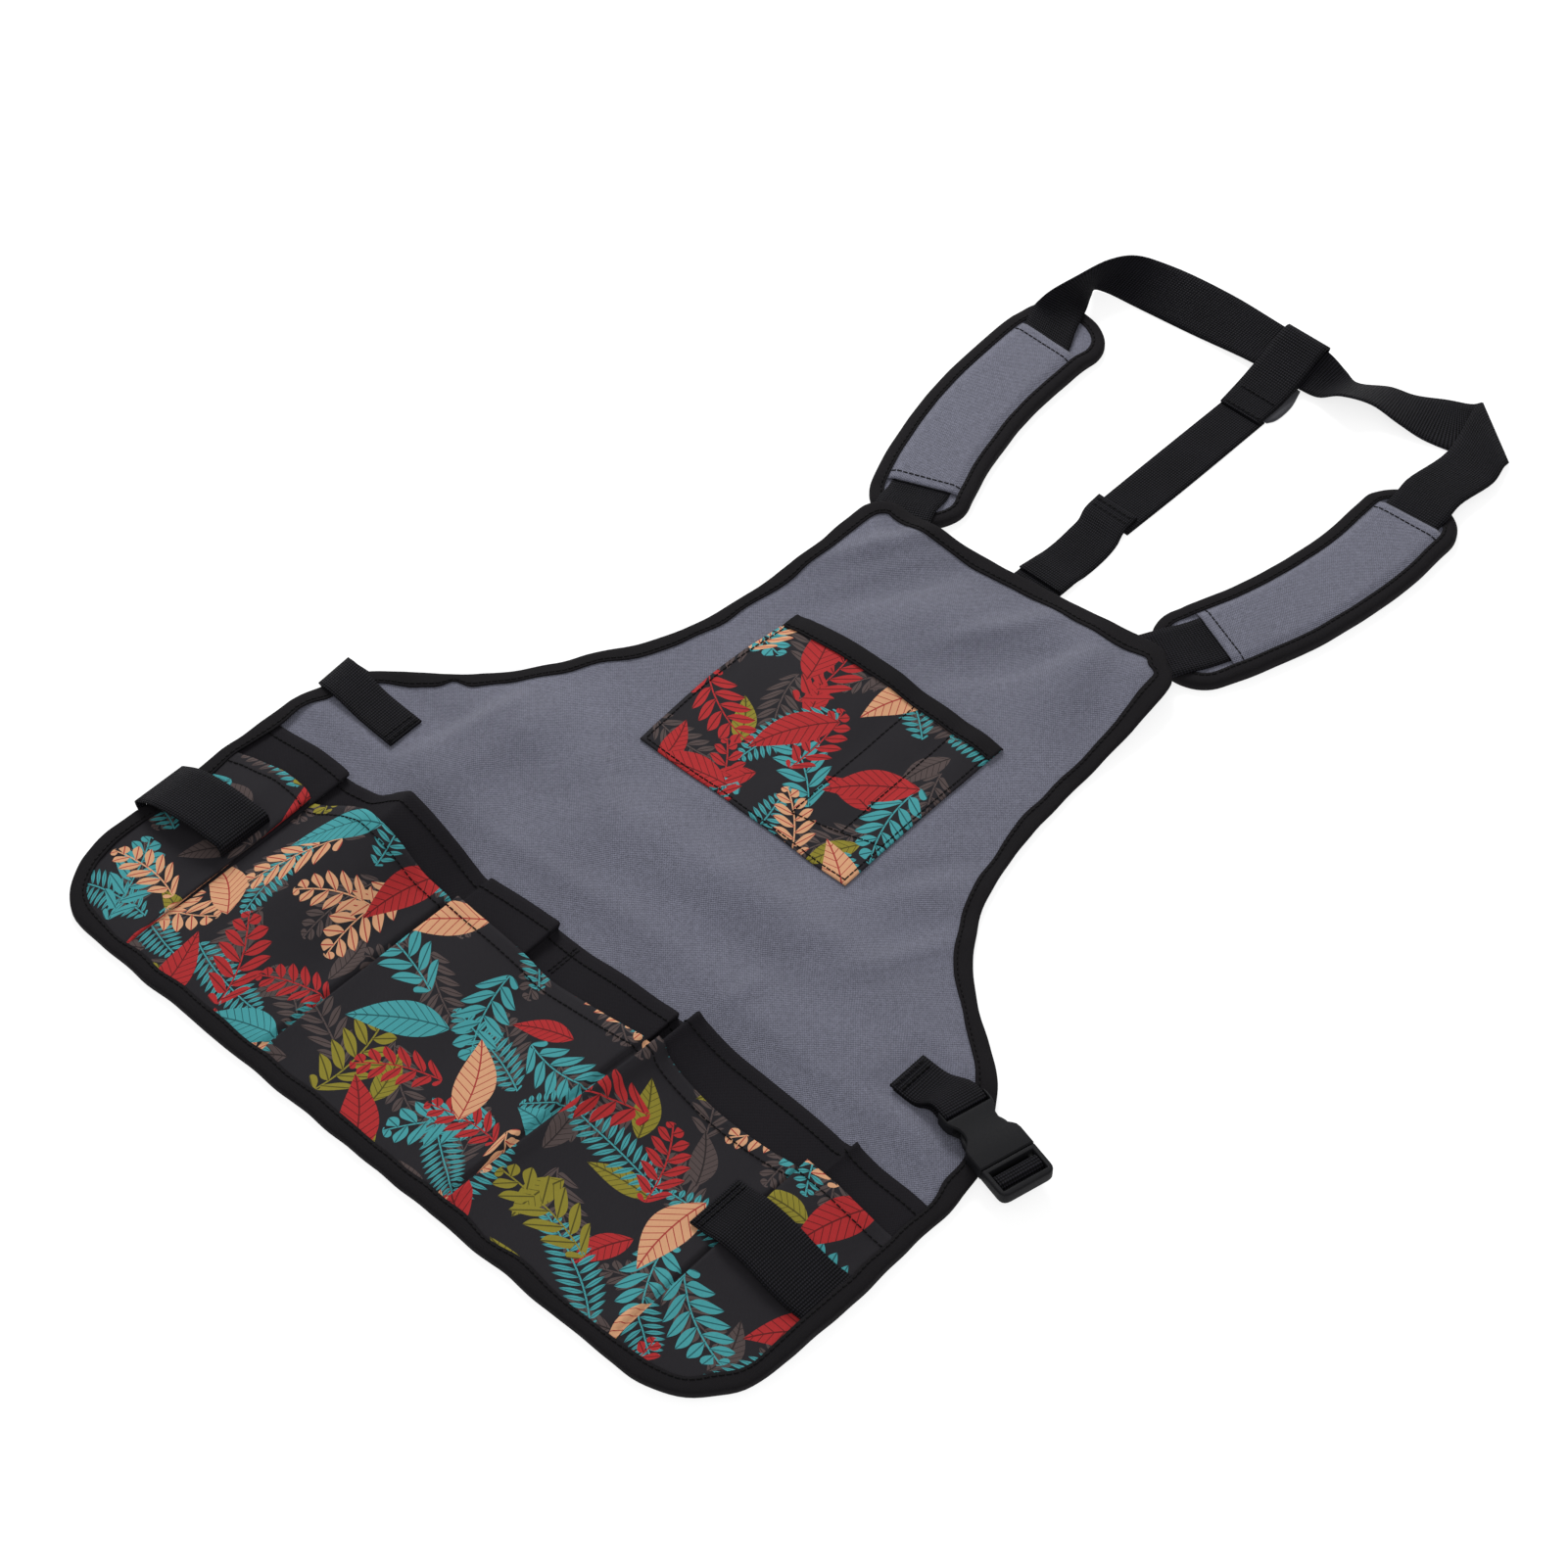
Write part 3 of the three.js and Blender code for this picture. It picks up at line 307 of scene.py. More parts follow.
# Shoulder pads.
PAD_RADIUS = 390.0
PAD_LENGTH = 246.0
PAD_WIDTH = 70.0
PAD_CORNER = 30.0
PAD_START = math.radians(-28)
PAD_TOP = 6.0
PAD_TAPE = 10.0
PAD_TAPE_FLAT = (580, 24)
PAD_WAVE, PAD_WAVE_SIZE = 0.9, 22
PAD_CROWN = 0.3
SLEEVE_WIDTH = 55.0
SLEEVE_ARCH = 25.5
SLEEVE_WAVE = 0.35
STRAP_WIDTH = 41.0
IN_SLEEVE = PAD_TOP + GAP + WEB_THICK / 2
ON_TAPE = PAD_TOP + 2 * GAP + TAPE_THICK + WEB_THICK / 2
Pad = namedtuple("Pad", "side edge level sleeve_start sleeve_end")
LEFT_PAD = Pad(-1, 141.0, 787.0, 34.0, 206.0)
RIGHT_PAD = Pad(1, 151.0, 805.0, 42.0, 221.0)

# The closed buckle's place.
BUCKLE_X, BUCKLE_Y, BUCKLE_BASE = 249.0, 262.0, 7.4
BUCKLE_TURN = math.radians(-14)
BUCKLE_WEB = 30.0


def smooth(share):
    """0 before 0, 1 after 1 and a soft step between."""
    s = min(max(share, 0.0), 1.0)
    return s * s * (3 - 2 * s)


def between(value, span):
    """A soft step from 0 to 1 over a span."""
    return smooth((value - span[0]) / (span[1] - span[0]))


def plateau(value, start, end, ramp):
    """1 inside a span, falling softly to 0 over a ramp on both sides."""
    return smooth((value - start) / ramp + 1) * smooth((end - value) / ramp + 1)


def patch(x, y, box, ramp):
    """1 inside a box of left, right, low and high edge, falling softly to 0 round it."""
    left, right, low, high = box
    return plateau(x, left, right, ramp) * plateau(y, low, high, ramp)


def spots_at(spots, x, y):
    """Sum of the amounts of spots at a point, each fading over its reach."""
    return sum(amount * math.exp(-((x - spot_x) ** 2 + (y - spot_y) ** 2) / reach**2)
               for spot_x, spot_y, reach, amount in spots)


def uneven(x, y, size, seed):
    """Smooth chance between -1 and 1, over patches of a size."""
    return noise.noise(Vector((x / size, y / size, seed)))


def ridge(x, y, fold):
    """Height of one fold at a point."""
    fold_x, fold_y, degrees, reach, width, height = fold
    angle = math.radians(degrees)
    along = (x - fold_x) * math.cos(angle) + (y - fold_y) * math.sin(angle)
    aside = (y - fold_y) * math.cos(angle) - (x - fold_x) * math.sin(angle)
    return height * math.exp(-((along / reach) ** 2) - (aside / width) ** 2)


def lay(x, y):
    """Height of the panel's underside."""
    height = REST
    for strap in (BELT_UNDER, CENTRE_STRAP_UNDER):
        height += WEB_STEP * patch(x, y, strap, LIFT_RAMP)
    height += CORNER_LIFT * between(abs(x), CORNER_LIFT_X) * between(y, CORNER_LIFT_Y)
    return height + sum(ridge(x, y, fold) for fold in FOLDS)


def smooth_floor(height):
    """Keeps a height above zero without a sharp bend."""
    return (height + math.hypot(height, FLOOR_BEND)) / 2


def crumple(x, y):
    """Small creases and the soft unevenness of laid cloth, only upwards from the panel's rest."""
    free = between(y, FREE_Y)
    for seat in WEBBING_SEATS:
        free *= 1 - patch(x, y, seat, SEAT_RAMP)
    waves = CRUMPLE + BROAD_WAVE * uneven(x, y, BROAD_WAVE_SIZE, 3.1)
    waves += FINE_WAVE * uneven(x, y, FINE_WAVE_SIZE, 7.7)
    creases = sum(ridge(x, y, crease) for crease in CREASES)
    return free * smooth_floor(waves + creases)


def panel_top(x, y):
    """Height of the panel's face."""
    return lay(x, y) + PANEL_THICK + crumple(x, y)


def tilted(x, y):
    """The bib's top edge slopes a little, so points near it move along Y."""
    return y + BIB_TILT * x * between(y, TILT_Y)


def arc_points(centre_x, centre_y, radius, start, end, count):
    """Points on an arc, without its first one."""
    angles = [start + (end - start) * i / count for i in range(1, count + 1)]
    return [Vector((centre_x + radius * math.cos(a), centre_y + radius * math.sin(a))) for a in angles]


def bezier_points(a, b, c, d, count):
    """Points on a cubic curve, without its first one."""
    points = []
    for i in range(1, count + 1):
        t = i / count
        s = 1 - t
        near = Vector(a) * s**3 + Vector(b) * 3 * s * s * t
        far = Vector(c) * 3 * s * t * t + Vector(d) * t**3
        points.append(near + far)
    return points


def line_points(a, b, count):
    """Points on a line, without its first one."""
    return [Vector(a).lerp(Vector(b), i / count) for i in range(1, count + 1)]


def fitted(profile):
    """Adds to each place of a profile the slope that keeps the curve between its neighbours' heights."""
    slopes = [0.0]
    for (x0, z0), (x1, z1), (x2, z2) in zip(profile, profile[1:], profile[2:]):
        before = (z1 - z0) / (x1 - x0)
        after = (z2 - z1) / (x2 - x1)
        slopes.append(2 * before * after / (before + after) if before * after > 0 else 0.0)
    slopes.append(0.0)
    return [(x, z, slope) for (x, z), slope in zip(profile, slopes)]


def value_at(curve, place):
    """Value of a fitted profile at a place along it."""
    place = min(max(place, curve[0][0]), curve[-1][0])
    after = min(bisect.bisect_right(curve, place, key=lambda point: point[0]), len(curve) - 1)
    x0, z0, slope0 = curve[after - 1]
    x1, z1, slope1 = curve[after]
    span = x1 - x0
    t = (place - x0) / span
    rest = 1 - t
    level = z0 * rest * rest * (1 + 2 * t) + z1 * t * t * (3 - 2 * t)
    return level + span * t * rest * (slope0 * rest - slope1 * t)


def side_outline():
    """Right side of the panel from the hem's corner to the bib's top edge."""
    foot = SKIRT_HALF - HEM_RADIUS
    head = BIB_TOP - BIB_CORNER
    points = [Vector((foot, 0.0))]
    points += arc_points(foot, HEM_RADIUS, HEM_RADIUS, -math.pi / 2, 0, 20)
    points += line_points((SKIRT_HALF, HEM_RADIUS), (SKIRT_HALF - 1, 214), 36)
    points += bezier_points((SKIRT_HALF - 1, 214), (SKIRT_HALF - 3, 244), (276, 256), (258, 274), 20)
    points += line_points((258, 274), (191, 341), 28)
    points += bezier_points((191, 341), (158, 374), (138, 430), (134, 500), 34)
    points += line_points((134, 500), (BIB_HALF, head), 24)
    points += arc_points(BIB_HALF - BIB_CORNER, head, BIB_CORNER, 0, math.pi / 2, 12)
    return points


SIDE = side_outline()
LEFT_DRIFT = fitted([(y, left) for y, left, right in EDGE_DRIFT])
RIGHT_DRIFT = fitted([(y, right) for y, left, right in EDGE_DRIFT])
TOP_STEPS = 44
# A station of the left side is found by taking its row from this number.
OPPOSITE = 2 * len(SIDE) + TOP_STEPS - 2


def outward(points):
    """Each point of a closed outline with the direction that points out of it."""
    stations = []
    for i, point in enumerate(points):
        along = (points[(i + 1) % len(points)] - points[i - 1]).normalized()
        stations.append((point, Vector((along.y, -along.x))))
    return stations


def outline_stations():
    """Points round the laid panel, each with the direction that points out of it."""
    top = SIDE[-1]
    hem = SIDE[0]
    points = list(SIDE)
    points += line_points(top, (-top.x, top.y), TOP_STEPS)[:-1]
    points += [Vector((-p.x, p.y)) for p in reversed(SIDE)]
    points += line_points((-hem.x, hem.y), hem, 90)[:-1]
    stations = []
    for point, out in outward(points):
        drift = value_at(RIGHT_DRIFT if point.x > 0 else LEFT_DRIFT, point.y)
        wave = EDGE_WAVE * uneven(point.x, point.y, EDGE_WAVE_SIZE, 5.2)
        stations.append((point + out * (drift + wave), out))
    return stations


def drawn_in(x, y):
    """How far the cloth is drawn in near the bib's top edge."""
    return spots_at(EDGE_SPOTS, x, y)


LAID_EDGE = outline_stations()
EDGE = [(point - out * drawn_in(point.x, point.y), out) for point, out in LAID_EDGE]


def row_curves(places):
    """A curve for each number of a pocket row's places, over the cloth's width along the mouth."""
    rows = [(*place, 0.0, 0.0)[:6] for place in places]
    across = [0.0]
    tucked = [0.0]
    for a, b in zip(rows, rows[1:]):
        across.append(across[-1] + math.hypot(b[1] - a[1], b[3] - a[3]))
        tucked.append(tucked[-1] + a[5])
    columns = [*list(zip(*rows))[:5], tucked]
    return [fitted(list(zip(across, column))) for column in columns]


BACK_CURVES = row_curves(BACK_PLACES)
FRONT_CURVES = row_curves(FRONT_PLACES)
CHEST_CURVE = fitted(CHEST_PROFILE)


def chest_under(x, y):
    opened = max((y - CHEST_LOW) / CHEST_HEIGHT, 0) ** POCKET_FULLNESS
    return lay(x, y) + PANEL_THICK + LAYER_GAP + value_at(CHEST_CURVE, x) * opened


def chest_top(x, y):
    return chest_under(x, y) + CLOTH_THICK


def stack(y):
    """Height of the layers in the tape's fold: the panel alone, or with both pocket rows."""
    return PANEL_THICK + (2 * CLOTH_THICK + GAP + LAYER_GAP) * (1 - between(y, ROWS_END_Y))


def on_pad(pad, s, t, z):
    """A point on a pad: s along it from the bib, t across it towards +X."""
    side = pad.side
    angle = PAD_START + s / PAD_RADIUS
    reach = PAD_RADIUS + side * t
    x = pad.edge - PAD_RADIUS + reach * math.cos(angle)
    return side * x, pad.level + reach * math.sin(angle), z


def on_buckle(along, across, up):
    """A point in the buckle's own frame."""
    turned = Matrix.Rotation(BUCKLE_TURN, 3, "Z") @ Vector((along, across, up))
    return turned.x + BUCKLE_X, turned.y + BUCKLE_Y, turned.z + BUCKLE_BASE


def row_point(x, y, z):
    """A point on the apron in the row frame."""
    return (Vector((x, y, z)) + SHIFT) / 1000


# Finishes.

# Millimetres of cloth to one unit of its flat coordinates.
FLAT_UNIT = 100.0
# Heights of threads, ribs and moulded grain, in metres.
THREAD_RISE = 0.0003
RIB_RISE = 0.0004
GRAIN_RISE = 0.0002


def add_node(tree, kind, **settings):
    """A new node of a kind, with its settings."""
    node = tree.nodes.new("ShaderNode" + kind)
    for name, value in settings.items():
        setattr(node, name, value)
    return node


def feed(socket, value):
    """Sets a socket to a value or links it to another socket."""
    if isinstance(value, bpy.types.NodeSocket):
        socket.id_data.links.new(value, socket)
    else:
        socket.default_value = value


def maths(operation, first, second=0.0, third=0.0):
    """One sum on sockets and numbers, in the tree that the sockets belong to."""
    values = (first, second, third)
    tree = next(value.id_data for value in values if isinstance(value, bpy.types.NodeSocket))
    node = add_node(tree, "Math", operation=operation)
    for socket, value in zip(node.inputs, values):
        feed(socket, value)
    return node.outputs[0]


def times(first, second):
    return maths("MULTIPLY", first, second)


def times_plus(first, second, third):
    return maths("MULTIPLY_ADD", first, second, third)


def blend_colours(tree, share, first, second):
    node = add_node(tree, "Mix", data_type="RGBA")
    feed(node.inputs["Factor"], share)
    feed(node.inputs["A"], first)
    feed(node.inputs["B"], second)
    return node.outputs["Result"]


def flat_coordinates(tree):
    """The cloth's own coordinates in millimetres."""
    uv = add_node(tree, "UVMap", uv_map="flat")
    parts = add_node(tree, "SeparateXYZ")
    feed(parts.inputs[0], uv.outputs["UV"])
    return times(parts.outputs[0], FLAT_UNIT), times(parts.outputs[1], FLAT_UNIT)


def ripples(coordinate, pitch):
    """A sine along one coordinate."""
    return maths("SINE", times(coordinate, 2 * math.pi / pitch))


def noise_tone(tree, place, scale, detail):
    """Uneven tone that follows a place."""
    texture = add_node(tree, "TexNoise")
    feed(texture.inputs["Vector"], place)
    feed(texture.inputs["Scale"], scale)
    feed(texture.inputs["Detail"], detail)
    return texture.outputs["Fac"]


def mottle(tree, scale, detail=3.0):
    """Uneven tone over the piece's own place."""
    place = add_node(tree, "TexCoord")
    return noise_tone(tree, place.outputs["Object"], scale, detail)


def new_finish(name, roughness, sheen=0.0, gloss=0.2):
    material = bpy.data.materials.new(name)
    material.use_nodes = True
    tree = material.node_tree
    shader = tree.nodes["Principled BSDF"]
    feed(shader.inputs["Roughness"], roughness)
    feed(shader.inputs["Specular IOR Level"], gloss)
    feed(shader.inputs["Sheen Weight"], sheen)
    feed(shader.inputs["Sheen Roughness"], 0.5)
    return material, tree, shader


def raise_bump(tree, shader, height, strength, distance):
    bump = add_node(tree, "Bump")
    feed(bump.inputs["Strength"], strength)
    feed(bump.inputs["Distance"], distance)
    feed(bump.inputs["Height"], height)
    feed(shader.inputs["Normal"], bump.outputs["Normal"])


def shade(colour, factor):
    return (colour[0] * factor, colour[1] * factor, colour[2] * factor, 1.0)


def tint(tree, shader, tone, colour, dark, light):
    """Colours a finish between a darker and a lighter shade of one colour."""
    feed(shader.inputs["Base Color"], blend_colours(tree, tone, shade(colour, dark), shade(colour, light)))


# Size of a thicker stretch of thread.
SLUB_WIDTH = 1.1
SLUB_LENGTH = 5.0


def thread_slubs(tree, aside, ahead):
    """Uneven tone that runs along the threads of one direction."""
    place = add_node(tree, "CombineXYZ")
    feed(place.inputs[0], maths("DIVIDE", aside, SLUB_WIDTH))
    feed(place.inputs[1], maths("DIVIDE", ahead, SLUB_LENGTH))
    return noise_tone(tree, place.outputs[0], 1.0, 1.0)


def woven_cloth(name, colour, pitch, contrast, strength, roughness=0.85, sheen=0.15, gloss=0.2, slubs=0.0):
    """Plain woven cloth: a basket of threads with an uneven tone, and slubs where threads are thicker."""
    material, tree, shader = new_finish(name, roughness, sheen, gloss)
    across, along = flat_coordinates(tree)
    threads = times(ripples(across, pitch), ripples(along, pitch))
    tone = times_plus(threads, contrast, 0.5)
    cloud = times_plus(mottle(tree, 18.0), 0.5, -0.25)
    tone = maths("ADD", tone, cloud)
    if slubs:
        thick = maths("ADD", thread_slubs(tree, across, along), thread_slubs(tree, along, across))
        tone = maths("ADD", tone, times_plus(thick, slubs, -slubs))
    tint(tree, shader, tone, colour, 0.75, 1.25)
    raise_bump(tree, shader, threads, strength, THREAD_RISE)
    return material


def ribbed_webbing(name, colour):
    """Webbing: ribs across its width with the warp threads between, with a painted highlight on the raised
    crests.
    """
    material, tree, shader = new_finish(name, 0.7, gloss=0.1)
    across, along = flat_coordinates(tree)
    ribs = ripples(along, 2.0)
    warp = ripples(across, 1.7)
    height = times_plus(warp, 0.7, ribs)
    # Colour lightest at the crests of the ribs and warp: the weave's pattern, with a painted highlight where
    # the raised threads catch light.
    crest_highlight = maths("POWER", times_plus(height, 0.29, 0.5), 2.5)
    cloud = times_plus(mottle(tree, 30.0), 0.3, -0.15)
    tone = maths("ADD", crest_highlight, cloud)
    tint(tree, shader, tone, colour, 0.2, 5.4)
    raise_bump(tree, shader, height, 0.7, RIB_RISE)
    return material


def moulded_plastic(name, colour):
    material, tree, shader = new_finish(name, 0.6, gloss=0.09)
    grain = mottle(tree, 900.0, 2.0)
    tint(tree, shader, mottle(tree, 40.0), colour, 0.85, 1.2)
    feed(shader.inputs["Roughness"], times_plus(grain, 0.2, 0.5))
    raise_bump(tree, shader, grain, 0.15, GRAIN_RISE)
    return material


# Print of the pocket cloth: leaves and sprigs scattered by chance on charcoal.
CHARCOAL = (0.0165, 0.0152, 0.0180)
TEAL = (0.052, 0.275, 0.295)
RED = (0.360, 0.023, 0.025)
PEACH = (0.570, 0.300, 0.165)
OLIVE = (0.215, 0.185, 0.024)
BROWN = (0.074, 0.055, 0.053)
VEIN_OF = {
    TEAL: (0.018, 0.090, 0.100),
    RED: (0.110, 0.012, 0.013),
    PEACH: (0.320, 0.040, 0.036),
    OLIVE: (0.070, 0.060, 0.012),
    BROWN: (0.026, 0.020, 0.020),
}
# Layers from the lowest: motif, cell, share of cells drawn, half length, half width, pitch and lean of
# its leaflets or veins, plumpness of its leaflets, and its colours.
PRINT_LAYERS = (
    ("sprig", 62, 0.92, 30, 14, 8.0, 0.8, 0.38, (BROWN,)),
    ("leaf", 44, 0.50, 20, 7, 4.5, 0.9, 0.0, (BROWN, OLIVE, BROWN, RED)),
    ("sprig", 76, 0.75, 37, 14, 4.8, 0.4, 0.34, (TEAL,)),
    ("sprig", 70, 0.80, 34, 18, 11.0, 0.7, 0.42, (TEAL, RED, PEACH, TEAL, OLIVE)),
    ("sprig", 60, 0.40, 29, 14, 9.5, 0.7, 0.40, (RED, PEACH)),
    ("leaf", 66, 0.55, 31, 11, 6.0, 0.9, 0.0, (RED, PEACH, TEAL)),
)
STEM = 0.5


def scatter(tree, across, along, cell, seed):
    """Staggered cells over the cloth: the place in a cell, turned by chance, and numbers drawn for it."""
    row_place = times_plus(along, 1 / cell, 0.71 * seed)
    row = maths("FLOOR", row_place)
    column_place = times_plus(across, 1 / cell, 0.37 * seed)
    column_place = times_plus(row, 0.5, column_place)
    column = maths("FLOOR", column_place)
    corner = add_node(tree, "CombineXYZ")
    for socket, value in zip(corner.inputs, (column, row, float(seed))):
        feed(socket, value)
    chance = add_node(tree, "TexWhiteNoise", noise_dimensions="3D")
    feed(chance.inputs["Vector"], corner.outputs[0])
    draws = add_node(tree, "SeparateColor")
    feed(draws.inputs[0], chance.outputs["Color"])
    x = maths("SUBTRACT", maths("FRACT", column_place), 0.5)
    y = maths("SUBTRACT", maths("FRACT", row_place), 0.5)
    turn = times(chance.outputs["Value"], 2 * math.pi)
    cosine = maths("COSINE", turn)
    sine = maths("SINE", turn)
    aside = times_plus(x, cosine, times(y, sine))
    ahead = maths("SUBTRACT", times(y, cosine), times(x, sine))
    aside = times(aside, float(cell))
    ahead = times(ahead, float(cell))
    return aside, ahead, draws.outputs["Red"], draws.outputs["Blue"]


def leaf_motif(aside, ahead, length, width, pitch, lean):
    """A pointed leaf, bent a little: where it is and where its veins are."""
    share = maths("DIVIDE", ahead, length)
    square = times(share, share)
    off = maths("ABSOLUTE", times_plus(square, 0.35 * width, aside))
    taper = times_plus(share, -0.4 * width, 1.1 * width)
    edge = times(taper, maths("SUBTRACT", 1.0, square))
    inside = maths("GREATER_THAN", edge, off)
    beat = maths("FRACT", maths("DIVIDE", times_plus(off, -lean, ahead), pitch))
    side_veins = maths("LESS_THAN", beat, 0.12)
    return inside, maths("MAXIMUM", side_veins, maths("LESS_THAN", off, STEM))


def sprig_motif(aside, ahead, length, reach, pitch, lean, plump):
    """A bent stem with leaflets on both sides, each with a midrib."""
    share = maths("DIVIDE", ahead, length)
    square = times(share, share)
    bent = times_plus(square, 0.3 * reach, aside)
    off = maths("ABSOLUTE", bent)
    inside = maths("MAXIMUM", maths("SUBTRACT", 1.0, square), 0.0)
    room = times(maths("SQRT", inside), reach)
    out = maths("MINIMUM", maths("DIVIDE", off, room), 1.0)
    way = maths("DIVIDE", times_plus(off, -lean, ahead), pitch)
    way = times_plus(maths("SIGN", bent), 0.25, way)
    beat = maths("ABSOLUTE", maths("SUBTRACT", maths("FRACT", way), 0.5))
    lens = times(maths("SINE", times(out, math.pi)), plump)
    leaflets = maths("GREATER_THAN", lens, beat)
    on_stem = maths("LESS_THAN", off, STEM)
    stem = times(on_stem, maths("GREATER_THAN", inside, 0.0))
    return maths("MAXIMUM", leaflets, stem), maths("LESS_THAN", beat, 0.045)


def pick(tree, draw, colours):
    """One of a few colours, by a drawn number."""
    ramp = add_node(tree, "ValToRGB")
    ramp.color_ramp.interpolation = "CONSTANT"
    stops = ramp.color_ramp.elements
    stops.remove(stops[1])
    stops[0].color = shade(colours[0], 1.0)
    for i in range(1, len(colours)):
        stops.new(i / len(colours)).color = shade(colours[i], 1.0)
    feed(ramp.inputs[0], draw)
    return ramp.outputs["Color"]


def printed_cloth(name):
    """Woven cloth with the scattered print."""
    material, tree, shader = new_finish(name, 0.85, gloss=0.12)
    across, along = flat_coordinates(tree)
    colour = shade(CHARCOAL, 1.0)
    for seed, layer in enumerate(PRINT_LAYERS, 1):
        motif, cell, drawn, length, width, pitch, lean, plump, colours = layer
        aside, ahead, luck, draw = scatter(tree, across, along, cell, seed)
        if motif == "leaf":
            inside, veins = leaf_motif(aside, ahead, length, width, pitch, lean)
        else:
            inside, veins = sprig_motif(aside, ahead, length, width, pitch, lean, plump)
        shown = times(inside, maths("LESS_THAN", luck, drawn))
        fill = pick(tree, draw, colours)
        line = pick(tree, draw, [VEIN_OF[c] for c in colours])
        colour = blend_colours(tree, shown, colour, blend_colours(tree, veins, fill, line))
    threads = times(ripples(across, 1.0), ripples(along, 1.0))
    tone = add_node(tree, "VectorMath", operation="SCALE")
    feed(tone.inputs[0], colour)
    feed(tone.inputs["Scale"], times_plus(threads, 0.12, 1.0))
    feed(shader.inputs["Base Color"], tone.outputs[0])
    raise_bump(tree, shader, threads, 0.3, THREAD_RISE)
    return material


GREY = (0.122, 0.1245, 0.164)
BLACK = (0.0112, 0.0102, 0.0124)
TAPE_BLACK = (0.0088, 0.0080, 0.0092)
WEBBING_BLACK = (0.0032, 0.0030, 0.0042)
THREAD_BLACK = (0.0045, 0.0043, 0.0046)
FELT_GREY = (0.040, 0.040, 0.047)
PLASTIC_BLACK = (0.0078, 0.0078, 0.0090)

grey_cloth = woven_cloth("grey_oxford", GREY, 1.9, 0.7, 0.8, slubs=1.5)
black_cloth = woven_cloth("black_oxford", BLACK, 1.4, 0.4, 0.4, 0.9, sheen=0.0, gloss=0.08)
black_tape = woven_cloth("black_tape", TAPE_BLACK, 1.0, 0.4, 0.4, sheen=0.0, gloss=0.08)
leaf_print = printed_cloth("leaf_print")
webbing = ribbed_webbing("black_webbing", WEBBING_BLACK)
thread = woven_cloth("black_thread", THREAD_BLACK, 0.5, 0.3, 0.2, 0.7, sheen=0.0, gloss=0.08)
felt = woven_cloth("patch_felt", FELT_GREY, 0.9, 0.2, 0.3, 0.95, sheen=0.3)
plastic = moulded_plastic("buckle_plastic", PLASTIC_BLACK)


# Mesh helpers.

# How finely the cloth is divided.
RIBBON_COLUMNS = 8
PANEL_COLUMNS = 120
POCKET_ROWS = 60
CHEST_COLUMNS = 90
PAD_COLUMNS, PAD_ROWS = 24, 80
SLEEVE_COLUMNS, SLEEVE_ROWS = 30, 60


scene = bpy.context.scene


def new_object(name, data):
    """An object in the scene."""
    thing = bpy.data.objects.new(name, data)
    scene.collection.objects.link(thing)
    return thing


def place_piece(name, shape, finish, node=None):
    """Makes an object of a bmesh in the row frame, gives it a finish and lets it ride."""
    mesh = bpy.data.meshes.new(name)
    shape.to_mesh(mesh)
    shape.free()
    mesh.materials.append(finish)
    mesh.shade_smooth()
    piece = new_object(name, mesh)
    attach(piece, "root")
    if node:
        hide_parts(node)
    return piece


def grid_shape(columns, rows, place, flat):
    """A grid mapped onto the apron: place gives millimetres, flat the cloth's own millimetres."""
    shape = bmesh.new()
    layer = shape.loops.layers.uv.new("flat")
    bmesh.ops.create_grid(shape, x_segments=columns, y_segments=rows, size=0.5)
    for face in shape.faces:
        for loop in face.loops:
            across, along = flat(loop.vert.co.x + 0.5, loop.vert.co.y + 0.5)
            loop[layer].uv = (across / FLAT_UNIT, along / FLAT_UNIT)
    for vert in shape.verts:
        vert.co = row_point(*place(vert.co.x + 0.5, vert.co.y + 0.5))
    return shape


def plain_flat(width, length):
    """The flat map of a plain strip or sheet."""
    return lambda u, v: (u * width, v * length)


def thicken(piece, thickness, offset):
    """Gives a sheet its thickness: offset -1 puts it below the face and 0 on both sides."""
    wall = piece.modifiers.new("thickness", "SOLIDIFY")
    wall.thickness = thickness / 1000
    wall.offset = offset
    return piece


def sheet_piece(name, columns, rows, place, flat, thickness, finish, node):
    piece = place_piece(name, grid_shape(columns, rows, place, flat), finish, node)
    return thicken(piece, thickness, -1)


def ring_piece(name, stations, corners, place, flat, finish, node):
    """A closed ring: a section carried round an outline."""
    shape = grid_shape(stations, corners, place, flat)
    bmesh.ops.remove_doubles(shape, verts=shape.verts, dist=1e-6)
    bmesh.ops.recalc_face_normals(shape, faces=shape.faces)
    return place_piece(name, shape, finish, node)


def around(ring, share):
    """The item of a closed ring at a share of the way round it."""
    return ring[round(share * len(ring)) % len(ring)]


def curve_point(points, share):
    """A point on a smooth curve through points, with steps that follow their spacing."""
    last = len(points) - 1
    step = min(int(share * last), last - 1)
    weight = share * last - step
    p1, p2 = points[step], points[step + 1]
    p0 = points[step - 1] if step else p1 * 2 - p2
    p3 = points[step + 2] if step + 2 <= last else p2 * 2 - p1
    before = max((p1 - p0).length, 1e-6) ** 0.5
    here = max((p2 - p1).length, 1e-6) ** 0.5
    after = max((p3 - p2).length, 1e-6) ** 0.5
    leave = ((p1 - p0) / before - (p2 - p0) / (before + here) + (p2 - p1) / here) * here
    arrive = ((p2 - p1) / here - (p3 - p1) / (here + after) + (p3 - p2) / after) * here
    bend = (p2 - p1) * 3 - leave * 2 - arrive
    turn = (p1 - p2) * 2 + leave + arrive
    return p1 + leave * weight + bend * weight**2 + turn * weight**3


